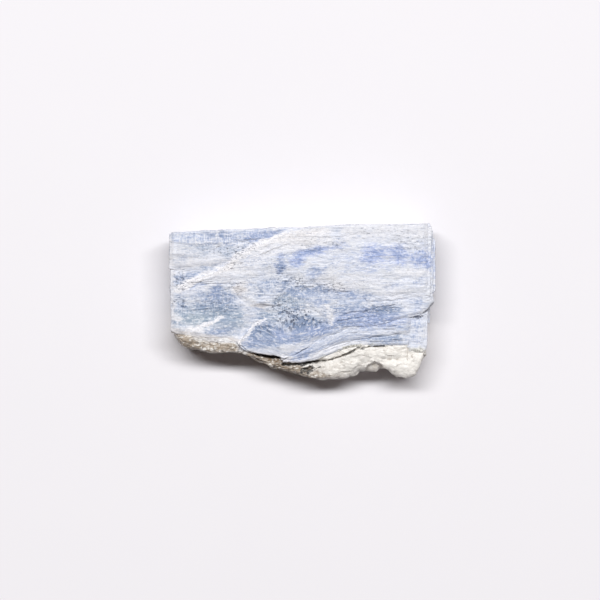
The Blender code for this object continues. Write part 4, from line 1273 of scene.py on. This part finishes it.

# %% [markdown]
# ## Materials: the pieces they share
#
# A material here is a small network of nodes. The effects that both stones use are node groups, each
# with named sockets: streaks along the fibres, a sugar of grains, and dirt with painted shade in the
# hollows. A short helper class keeps the wiring readable: every method adds one or a few nodes and
# returns an output.

# %% Helper for wiring nodes
class Sketch:
    """Adds nodes to one tree. A socket given as an input is linked, and any other value is set."""

    def __init__(self, tree):
        self.tree = tree

    def feed(self, node, inputs):
        """Links or sets the named inputs of a node."""
        for name, value in inputs.items():
            if isinstance(value, bpy.types.NodeSocket):
                self.tree.links.new(value, node.inputs[name])
            else:
                node.inputs[name].default_value = value

    def node(self, kind, inputs, **settings):
        """A new node with its settings and inputs: its outputs."""
        made = self.tree.nodes.new(kind)
        for key, value in settings.items():
            setattr(made, key, value)
        self.feed(made, inputs)
        return made.outputs

    def math(self, operation, *values, **settings):
        """One step of arithmetic."""
        return self.node("ShaderNodeMath", dict(enumerate(values)), operation=operation, **settings)[0]

    def line(self, value, slope, start):
        """`slope` times the value, plus `start`."""
        return self.math("MULTIPLY_ADD", value, slope, start)

    def centred(self, pattern, slope, start):
        """`slope` times how far the pattern is from one half, plus `start`."""
        return self.line(self.math("SUBTRACT", pattern, 0.5), slope, start)

    def product(self, first, *others):
        """All the values multiplied."""
        for other in others:
            first = self.math("MULTIPLY", first, other)
        return first

    def vector_math(self, operation, *values):
        """One step of arithmetic on vectors: its vector and its number."""
        return self.node("ShaderNodeVectorMath", dict(enumerate(values)), operation=operation)

    def vector(self, x, y, z):
        """A vector from three numbers."""
        return self.node("ShaderNodeCombineXYZ", {"X": x, "Y": y, "Z": z})[0]

    def place(self):
        """Object coordinates."""
        return self.node("ShaderNodeTexCoord", {})["Object"]

    def attribute(self, name):
        """A share that the mesh holds."""
        return self.node("ShaderNodeAttribute", {}, attribute_name=name)["Fac"]

    def ramp(self, value, low, high):
        """0 at `low`, 1 at `high`, smooth between and level beyond."""
        limits = {"Value": value, "From Min": low, "From Max": high}
        return self.node("ShaderNodeMapRange", limits, interpolation_type="SMOOTHSTEP")[0]

    def mix(self, share, first, second):
        """A blend of two colours; `share` 0 gives the first."""
        return self.node("ShaderNodeMix", {"Factor": share, 6: first, 7: second}, data_type="RGBA")[2]

    def coated(self, color, coats):
        """The colour under coats, each a tint, how much of it covers at most, and masks to multiply."""
        for tint, amount, *masks in coats:
            color = self.mix(self.product(amount, *masks), color, tint)
        return color

    def noise(self, vector, scale, detail, roughness=0.5):
        """Cloudy noise, 0 to 1."""
        inputs = {"Vector": vector, "Scale": scale, "Detail": detail, "Roughness": roughness}
        return self.node("ShaderNodeTexNoise", inputs)["Fac"]

    def bump(self, height, depth):
        """A normal from a height, with `depth` in millimetres."""
        return self.node("ShaderNodeBump", {"Height": height, "Distance": depth * MM, "Strength": 1.0})[0]

    def placed(self, group, **inputs):
        """A copy of the group in this tree: its outputs."""
        return self.node("ShaderNodeGroup", inputs, node_tree=group)


print("a sketch can:", ", ".join(name for name in vars(Sketch) if not name.startswith("_")))


# %% A group or a material from a function that wires it
def new_group(name, inputs, outputs, wire):
    """A node group with its sockets, wired by a function from its inputs to values for its outputs."""
    group = bpy.data.node_groups.new(name, "ShaderNodeTree")
    for socket, kind in inputs.items():
        group.interface.new_socket(socket, in_out="INPUT", socket_type=f"NodeSocket{kind}")
    for socket in outputs:
        group.interface.new_socket(socket, in_out="OUTPUT", socket_type="NodeSocketFloat")
    sketch = Sketch(group)
    given = group.nodes.new("NodeGroupInput").outputs
    sketch.feed(group.nodes.new("NodeGroupOutput"), wire(sketch, given))
    print("group:", name, list(inputs), "to", list(outputs))
    return group


def new_material(name, wire):
    """A material whose Principled BSDF takes its inputs from a function that wires its nodes."""
    material = bpy.data.materials.new(name)
    material.use_nodes = True
    sketch = Sketch(material.node_tree)
    sketch.feed(material.node_tree.nodes["Principled BSDF"], wire(sketch))
    print("material:", name, len(material.node_tree.nodes), "nodes")
    return material


# %% Groups: streaks, sugar and grime
STREAK_DETAIL, STREAK_ROUGHNESS = 3.0, 0.6
GRAIN_BORDER = 0.16  # how wide the border of a grain is, in grains
# Scale, detail and patch ramp of the noise that breaks up the dirt and painted shade in the hollows.
DIRT_SHADE_SCALE, DIRT_SHADE_DETAIL, DIRT_SHADE_PATCHES = 0.9, 4.0, (0.35, 0.65)


def streaks(sketch, given):
    """Noise with cells of Length by Width: one output from 0 to 1."""
    cell = sketch.vector(given["Length"], given["Width"], given["Length"])
    scaled = sketch.vector_math("DIVIDE", given["Vector"], cell)[0]
    moved = sketch.vector_math("ADD", scaled, given["Offset"])[0]
    return {"Streak": sketch.noise(moved, 1.0, STREAK_DETAIL, STREAK_ROUGHNESS)}


def sugar_grains(sketch, given):
    """Packed grains: a tone for each, a facet height, and a mask that is 0 on their borders."""
    cell = sketch.vector(given["Size"], given["Size"], given["Size"])
    scaled = sketch.vector_math("DIVIDE", given["Vector"], cell)[0]
    nearest, second = (
        sketch.node("ShaderNodeTexVoronoi", {"Vector": scaled, "Scale": 1.0}, feature=feature)
        for feature in ("F1", "F2")
    )
    tone = sketch.node("ShaderNodeSeparateColor", {"Color": nearest["Color"]})[0]
    away = sketch.vector_math("SUBTRACT", scaled, nearest["Position"])[0]
    tilt = sketch.vector_math("SUBTRACT", nearest["Color"], (0.5, 0.5, 0.5))[0]
    facet = sketch.vector_math("DOT_PRODUCT", away, tilt)["Value"]
    gap = sketch.math("SUBTRACT", second["Distance"], nearest["Distance"])
    return {"Tone": tone, "Facet": facet, "Body": sketch.ramp(gap, 0.0, GRAIN_BORDER)}


def dirt_and_shade_in_hollows(sketch, given):
    """Dirt and painted shade in the hollows: the hollow share broken up by noise, from 0 to 1."""
    patches = sketch.ramp(sketch.noise(given["Vector"], DIRT_SHADE_SCALE, DIRT_SHADE_DETAIL), *DIRT_SHADE_PATCHES)
    amount = sketch.product(given["Hollow"], given["Reach"])
    return {"DirtAndShade": sketch.math("MULTIPLY", amount, patches, use_clamp=True)}


STREAKS = new_group(
    "fibre streaks", {"Vector": "Vector", "Length": "Float", "Width": "Float", "Offset": "Float"},
    ("Streak",), streaks,
)
SUGAR = new_group(
    "sugar grains", {"Vector": "Vector", "Size": "Float"}, ("Tone", "Facet", "Body"), sugar_grains
)
# Dirt and painted shade in the hollows, where shade would fall.
DIRT_AND_SHADE = new_group(
    "dirt and painted shade in hollows", {"Vector": "Vector", "Hollow": "Float", "Reach": "Float"}, ("DirtAndShade",),
    dirt_and_shade_in_hollows,
)

# %% [markdown]
# ## Kyanite's finish
#
# Glassy kyanite is blue and reflects sharply; crushed kyanite scatters light, so it is white and matt.
# The attributes say where each is, and streaks along the fibres break the colour into fine lines. The
# colour starts as pale stone under clouds of blue, and thin coats go over it one by one.

# %% Kyanite's colours and patterns
CRUSHED_WHITE = (0.89, 0.88, 0.91, 1)
PALE_LAVENDER, PALE_GREY = (0.66, 0.69, 0.78, 1), (0.66, 0.68, 0.74, 1)
STEEL_BLUE, GREY_BLUE = (0.255, 0.325, 0.475, 1), (0.255, 0.318, 0.45, 1)
DEEP_BLUE, VIOLET_BLUE = (0.14, 0.205, 0.352, 1), (0.352, 0.434, 0.716, 1)
TEAL_GREY, RUST_TINT = (0.33, 0.41, 0.475, 1), (0.55, 0.46, 0.37, 1)
# The second dark is painted shade in the cracks, and dirt with painted shade in the hollows.
FLECK, CREVICE_SHADE_AND_DIRT = (0.05, 0.07, 0.125, 1), (0.07, 0.075, 0.10, 1)
CREAM_SHADE, CREAM_WHITE = (0.42, 0.41, 0.36, 1), (0.78, 0.76, 0.70, 1)

# Streaks: length and width of the cells in millimetres, and an offset that sets each one apart.
KYANITE_STREAKS = {
    "tint": (5.0, 3.0, 7.0), "clouds": (2.4, 1.1, 3.0), "strokes": (1.3, 0.5, 11.0),
    "dashes": (0.55, 0.36, 17.0), "hairs": (2.6, 0.22, 29.0), "partings": (0.32, 2.0, 37.0),
    "chips": (0.8, 0.32, 43.0),
}
LEAF_STREAK = (3.0, 3.0, 51.0)
LEAF_THINNESS = 0.4  # cells of the streaks are this much shorter up and down
LEAF_LAYERS = (1.0, 1.0, 4.6)  # on top of that, for the leaves that show on the sides
SUGAR_GRAIN, SPECK_GRAIN, SPECK_STRETCH = 0.36, 0.33, (0.6, 1.0, 1.0)
MOTTLES = {"clouds": 1.0, "strokes": 1.2, "dashes": 0.7}  # how much each streak breaks up the blue
PARTED_LEAST, PARTED_MORE = 0.3, 2.2  # the same for the partings, everywhere and in parted zones
CRUSHED_LOSS, BLUE_FULL = 0.45, 1.05  # blue that crushing takes away, and the value of full blue
# Reach of the dirt and painted shade in the hollows, and the bump's depth in millimetres.
KYANITE_DIRT_SHADE, KYANITE_BUMP = 1.2, 0.07
print("finest kyanite streak:", min(width for _, width, _ in KYANITE_STREAKS.values()), "mm wide")


# %% The kyanite material
def fibre_vector(sketch):
    """Object coordinates in millimetres, with Y taken across the fibres and Z stretched.

    The stretch makes the streaks on a side thin, like the leaves of the blade.
    """
    xyz = sketch.node("ShaderNodeSeparateXYZ", {"Vector": sketch.place()})
    bent = sketch.vector(xyz["X"], sketch.attribute("fibre"), xyz["Z"])
    return sketch.vector_math("DIVIDE", bent, (MM, MM, LEAF_THINNESS * MM))[0]


def streak_of(sketch, vector, length, width, offset):
    """One pattern of streaks."""
    return sketch.placed(STREAKS, Vector=vector, Length=length, Width=width, Offset=offset)["Streak"]


def clouded(sketch, streak):
    """The blue share broken up by streaks, and pale stone under that blue, which leans either way."""
    mottle = 0.0
    for name, slope in MOTTLES.items():
        mottle = sketch.centred(streak[name], slope, mottle)
    parted = sketch.line(sketch.attribute("parted"), PARTED_MORE, PARTED_LEAST)
    mottle = sketch.centred(streak["partings"], parted, mottle)
    blue = sketch.line(sketch.attribute("crushed"), -CRUSHED_LOSS, sketch.attribute("blue"))
    blue = sketch.ramp(sketch.math("ADD", blue, mottle), 0.0, BLUE_FULL)
    steel = sketch.mix(sketch.ramp(streak["tint"], 0.4, 0.6), STEEL_BLUE, GREY_BLUE)
    pale = sketch.mix(sketch.ramp(streak["tint"], 0.38, 0.62), PALE_LAVENDER, PALE_GREY)
    violet = sketch.math("MAXIMUM", sketch.attribute("violet"), 0.0)
    teal = sketch.math("MAXIMUM", sketch.math("MULTIPLY", sketch.attribute("violet"), -1.0), 0.0)
    tinted = sketch.mix(teal, sketch.mix(violet, steel, VIOLET_BLUE), TEAL_GREY)
    return blue, sketch.mix(blue, pale, tinted)


def kyanite_stone(sketch):
    """Coats of white, rust, flecks and painted shade over the clouded stone; gloss follows the glassy
    parts.
    """
    vector = fibre_vector(sketch)
    streak = {name: streak_of(sketch, vector, *row) for name, row in KYANITE_STREAKS.items()}
    chips, hairs = streak["chips"], streak["hairs"]
    leaves = streak_of(sketch, sketch.vector_math("MULTIPLY", vector, LEAF_LAYERS)[0], *LEAF_STREAK)
    sugar = sketch.placed(SUGAR, Vector=vector, Size=SUGAR_GRAIN)
    stretched = sketch.vector_math("MULTIPLY", vector, SPECK_STRETCH)[0]
    specks = sketch.placed(SUGAR, Vector=stretched, Size=SPECK_GRAIN)
    hollow, crushed, speckled, steep, stain, crack, cream = (
        sketch.attribute(name)
        for name in ("hollow", "crushed", "speckled", "steep", "stain", "crack", "cream")
    )
    # Dirt and painted shade in the hollows.
    dirt_and_shade = sketch.placed(DIRT_AND_SHADE, Vector=vector, Hollow=hollow, Reach=KYANITE_DIRT_SHADE)["DirtAndShade"]
    creamy = sketch.mix(sketch.ramp(sugar["Tone"], 0.1, 0.7), CREAM_SHADE, CREAM_WHITE)
    dark_tone = sketch.line(speckled, 0.16, specks["Tone"])
    dark_amount = sketch.line(speckled, 0.75, 0.15)

    blue, color = clouded(sketch, streak)
    color = sketch.coated(color, (
        (DEEP_BLUE, 1.0, sketch.ramp(blue, 0.7, 1.0), sketch.line(speckled, 0.45, 0.3)),
        (CRUSHED_WHITE, 0.5, sketch.ramp(chips, 0.57, 0.66)),
        (CRUSHED_WHITE, 1.0, sketch.ramp(sugar["Tone"], -0.5, 0.8), crushed),
        (CRUSHED_WHITE, 0.5, sketch.ramp(hairs, 0.58, 0.66)),
        (STEEL_BLUE, 0.45, sketch.ramp(hairs, 0.42, 0.34)),
        (FLECK, 0.8, sketch.ramp(chips, 0.42, 0.36), speckled),
        (FLECK, 1.0, sketch.ramp(dark_tone, 0.92, 0.98), specks["Body"], dark_amount),
        (CRUSHED_WHITE, 0.35, sketch.ramp(specks["Tone"], 0.13, 0.06), specks["Body"]),
        (creamy, 1.0, cream),
        (CRUSHED_WHITE, 0.55, sketch.ramp(leaves, 0.54, 0.64), steep),
        (DEEP_BLUE, 0.6, sketch.ramp(leaves, 0.46, 0.37), steep),
        (RUST_TINT, 0.45, stain),
        # Painted shade in the cracks, and dirt with painted shade in the hollows.
        (CREVICE_SHADE_AND_DIRT, 0.4, crack),
        (CREVICE_SHADE_AND_DIRT, 0.45, dirt_and_shade),
    ))
    rough = sketch.line(streak["strokes"], 0.15, sketch.line(crushed, 0.25, 0.36))
    height = sketch.product(sugar["Facet"], sketch.line(crushed, 1.2, 0.3))
    height = sketch.line(streak["dashes"], 0.8, sketch.line(hairs, 0.8, height))
    height = sketch.line(leaves, sketch.product(steep, 2.2), height)
    return {"Base Color": color, "Roughness": rough, "Normal": sketch.bump(height, KYANITE_BUMP)}


KYANITE = new_material("kyanite_stone", kyanite_stone)
for piece in kyanite:
    piece.data.materials.append(KYANITE)

# %% [markdown]
# ## Quartz's finish
#
# Broken quartz is a mass of cream-white grains, each a little different. Iron has stained it brown
# where it meets the blades on the left. Painted shade darkens the grooves along the blades, parts of
# the brown and grey spots near the blades, and, with dirt, the hollows; the brightest grains get a
# painted glint. The coats go over a white base in the same way.

# %% The quartz material
SUGAR_WHITE, SUGAR_SHADE = (0.88, 0.855, 0.815, 1), (0.62, 0.57, 0.52, 1)
# The brown is iron stain, and also dirt with painted shade in the hollows; the slate is dark spots and
# painted shade along the blades.
IRON_BROWN_AND_SHADE, BEIGE, SLATE_AND_SHADE = (0.22, 0.155, 0.10, 1), (0.42, 0.35, 0.28, 1), (0.11, 0.105, 0.10, 1)
QUARTZ_COARSE, QUARTZ_FINE, FINE_STRETCH = 0.9, 0.3, (0.45, 1.0, 1.0)
BLOTCHES = (0.7, 0.5, 5.0)  # length and width of the cells, and offset
# Reach of the dirt and painted shade in the hollows, and the bump's depth in millimetres.
QUARTZ_DIRT_SHADE, QUARTZ_BUMP = 1.3, 0.14


def quartz_stone(sketch):
    """White grains of uneven tone, brown and grey spots, dirt, and painted shade and glints."""
    vector = sketch.vector_math("DIVIDE", sketch.place(), (MM, MM, MM))[0]
    stretched = sketch.vector_math("MULTIPLY", vector, FINE_STRETCH)[0]
    coarse = sketch.placed(SUGAR, Vector=vector, Size=QUARTZ_COARSE)
    fine = sketch.placed(SUGAR, Vector=stretched, Size=QUARTZ_FINE)
    blotches = streak_of(sketch, vector, *BLOTCHES)
    hollow, brown, rough, grey, groove, veil = (
        sketch.attribute(name) for name in ("hollow", "brown", "rough", "grey", "groove", "veil")
    )
    # Dirt and painted shade in the hollows.
    dirt_and_shade = sketch.placed(DIRT_AND_SHADE, Vector=vector, Hollow=hollow, Reach=QUARTZ_DIRT_SHADE)["DirtAndShade"]
    tone = sketch.line(coarse["Tone"], 0.5, sketch.product(fine["Tone"], 0.5))
    beige = sketch.mix(sketch.ramp(tone, 0.4, 0.95), BEIGE, SUGAR_WHITE)
    # Dark grey spots, partly painted shade along the blades, and painted shade in the grooves.
    dark, groove_shade = sketch.centred(blotches, 3.0, grey), sketch.centred(blotches, 0.8, groove)
    # A painted glint on the brightest grains.
    painted_glint = sketch.ramp(fine["Tone"], 0.82, 0.92)

    color = sketch.coated(SUGAR_WHITE, (
        (SUGAR_SHADE, 1.0, sketch.ramp(tone, 0.75, 0.0), sketch.line(rough, 0.7, 0.3)),
        # Beige and brown where iron stained it, and in places painted shade below the ledges.
        (beige, 1.0, sketch.ramp(brown, 0.0, 0.5)),
        (IRON_BROWN_AND_SHADE, 1.0, sketch.ramp(brown, 0.45, 1.0), sketch.ramp(fine["Tone"], 0.0, 0.5)),
        # Dark grey spots, and painted shade in the crevices along the blades and below the ledges.
        (SLATE_AND_SHADE, 1.0, sketch.ramp(dark, 0.35, 0.75), sketch.ramp(grey, 0.0, 0.3)),
        # Dirt with painted shade in the hollows.
        (IRON_BROWN_AND_SHADE, 0.5, dirt_and_shade),
        # Painted shade in the grooves along the blades.
        (SLATE_AND_SHADE, 0.8, sketch.ramp(groove_shade, 0.35, 0.85)),
        (PALE_LAVENDER, 0.7, veil),
        # A painted glint on the brightest grains.
        (SUGAR_WHITE, 1.0, painted_glint, fine["Body"], sketch.line(rough, 0.6, 0.2)),
    ))
    height = sketch.line(fine["Facet"], sketch.line(rough, 1.4, 0.5), coarse["Facet"])
    return {
        "Base Color": color, "Roughness": sketch.line(fine["Tone"], 0.5, 0.28),
        "Normal": sketch.bump(height, QUARTZ_BUMP),
    }


quartz.data.materials.append(new_material("quartz_stone", quartz_stone))

# %% [markdown]
# ## Floor, light and camera
#
# The specimen lies on white paper under one large soft lamp beyond its back edge, with a weak warm
# light from all round. The camera looks straight down with a long lens, so that the sides hardly show.

# %% Floor
FLOOR_SIZE, FLOOR_DROP = 1500, 0.05
PAPER_SHADE, PAPER_WHITE = (0.80, 0.785, 0.815, 1), (0.815, 0.80, 0.83, 1)
PAPER_SCALE, PAPER_DETAIL, PAPER_ROUGHNESS = 18.0, 4.0, 0.9


def white_paper(sketch):
    """White paper: a faint cloudiness so that it isn't one flat colour."""
    cloud = sketch.noise(sketch.place(), PAPER_SCALE, PAPER_DETAIL)
    return {"Base Color": sketch.mix(cloud, PAPER_SHADE, PAPER_WHITE), "Roughness": PAPER_ROUGHNESS}


corner = FLOOR_SIZE * MM / 2
floor_mesh = bpy.data.meshes.new("paper")
floor_mesh.from_pydata(
    [(x * corner, y * corner, -FLOOR_DROP * MM) for x, y in ((-1, -1), (1, -1), (1, 1), (-1, 1))],
    [], [(0, 1, 2, 3)],
)
floor = new_object("paper", floor_mesh)
floor_mesh.materials.append(new_material("white_paper", white_paper))

# %% Lamp, and light from all round
LAMP_PLACE, LAMP_WIDTH, LAMP_DEPTH, LAMP_POWER = (0.05, 0.76, 1.85), 2.6, 0.36, 58.5
ROOM_COLOR, ROOM_STRENGTH = (1.0, 0.78, 0.72, 1), 0.055

lamp_data = bpy.data.lights.new("soft_lamp", "AREA")
lamp_data.shape = "RECTANGLE"
lamp_data.size, lamp_data.size_y = LAMP_WIDTH, LAMP_DEPTH
lamp_data.energy = LAMP_POWER
lamp = new_object("soft_lamp", lamp_data)
lamp.location = LAMP_PLACE
lamp.rotation_euler = (-np.arctan2(LAMP_PLACE[1], LAMP_PLACE[2]), 0, 0)

world = bpy.data.worlds.new("room")
world.use_nodes = True
background = world.node_tree.nodes["Background"]
background.inputs["Color"].default_value = ROOM_COLOR
background.inputs["Strength"].default_value = ROOM_STRENGTH
bpy.context.scene.world = world
bpy.context.scene.view_settings.view_transform = "Standard"
print("lamp:", round(float(np.hypot(*LAMP_PLACE[1:])), 2), "m away,", LAMP_WIDTH, "by", LAMP_DEPTH, "m")

# %% Camera
PICTURE = 600  # pixels on each side
PIXEL = 0.25  # millimetres of the specimen's top that one pixel covers
MIDDLE_PIXEL = (302.5, 301.75)  # where the specimen's origin shows
CAMERA_HEIGHT, TOP_LEVEL, SENSOR = 600, 11, 36
CLIP_START = 0.01

camera_data = bpy.data.cameras.new("camera")
camera_data.sensor_width = SENSOR
camera_data.lens = SENSOR * CAMERA_HEIGHT / (PICTURE * PIXEL)
camera_data.clip_start = CLIP_START
camera = new_object("camera", camera_data)
camera.location = (
    (PICTURE / 2 - MIDDLE_PIXEL[0]) * PIXEL * MM,
    (MIDDLE_PIXEL[1] - PICTURE / 2) * PIXEL * MM,
    (CAMERA_HEIGHT + TOP_LEVEL) * MM,
)
bpy.context.scene.camera = camera
print("camera:", camera_data.lens, "mm lens,", CAMERA_HEIGHT, "mm above the specimen's top")
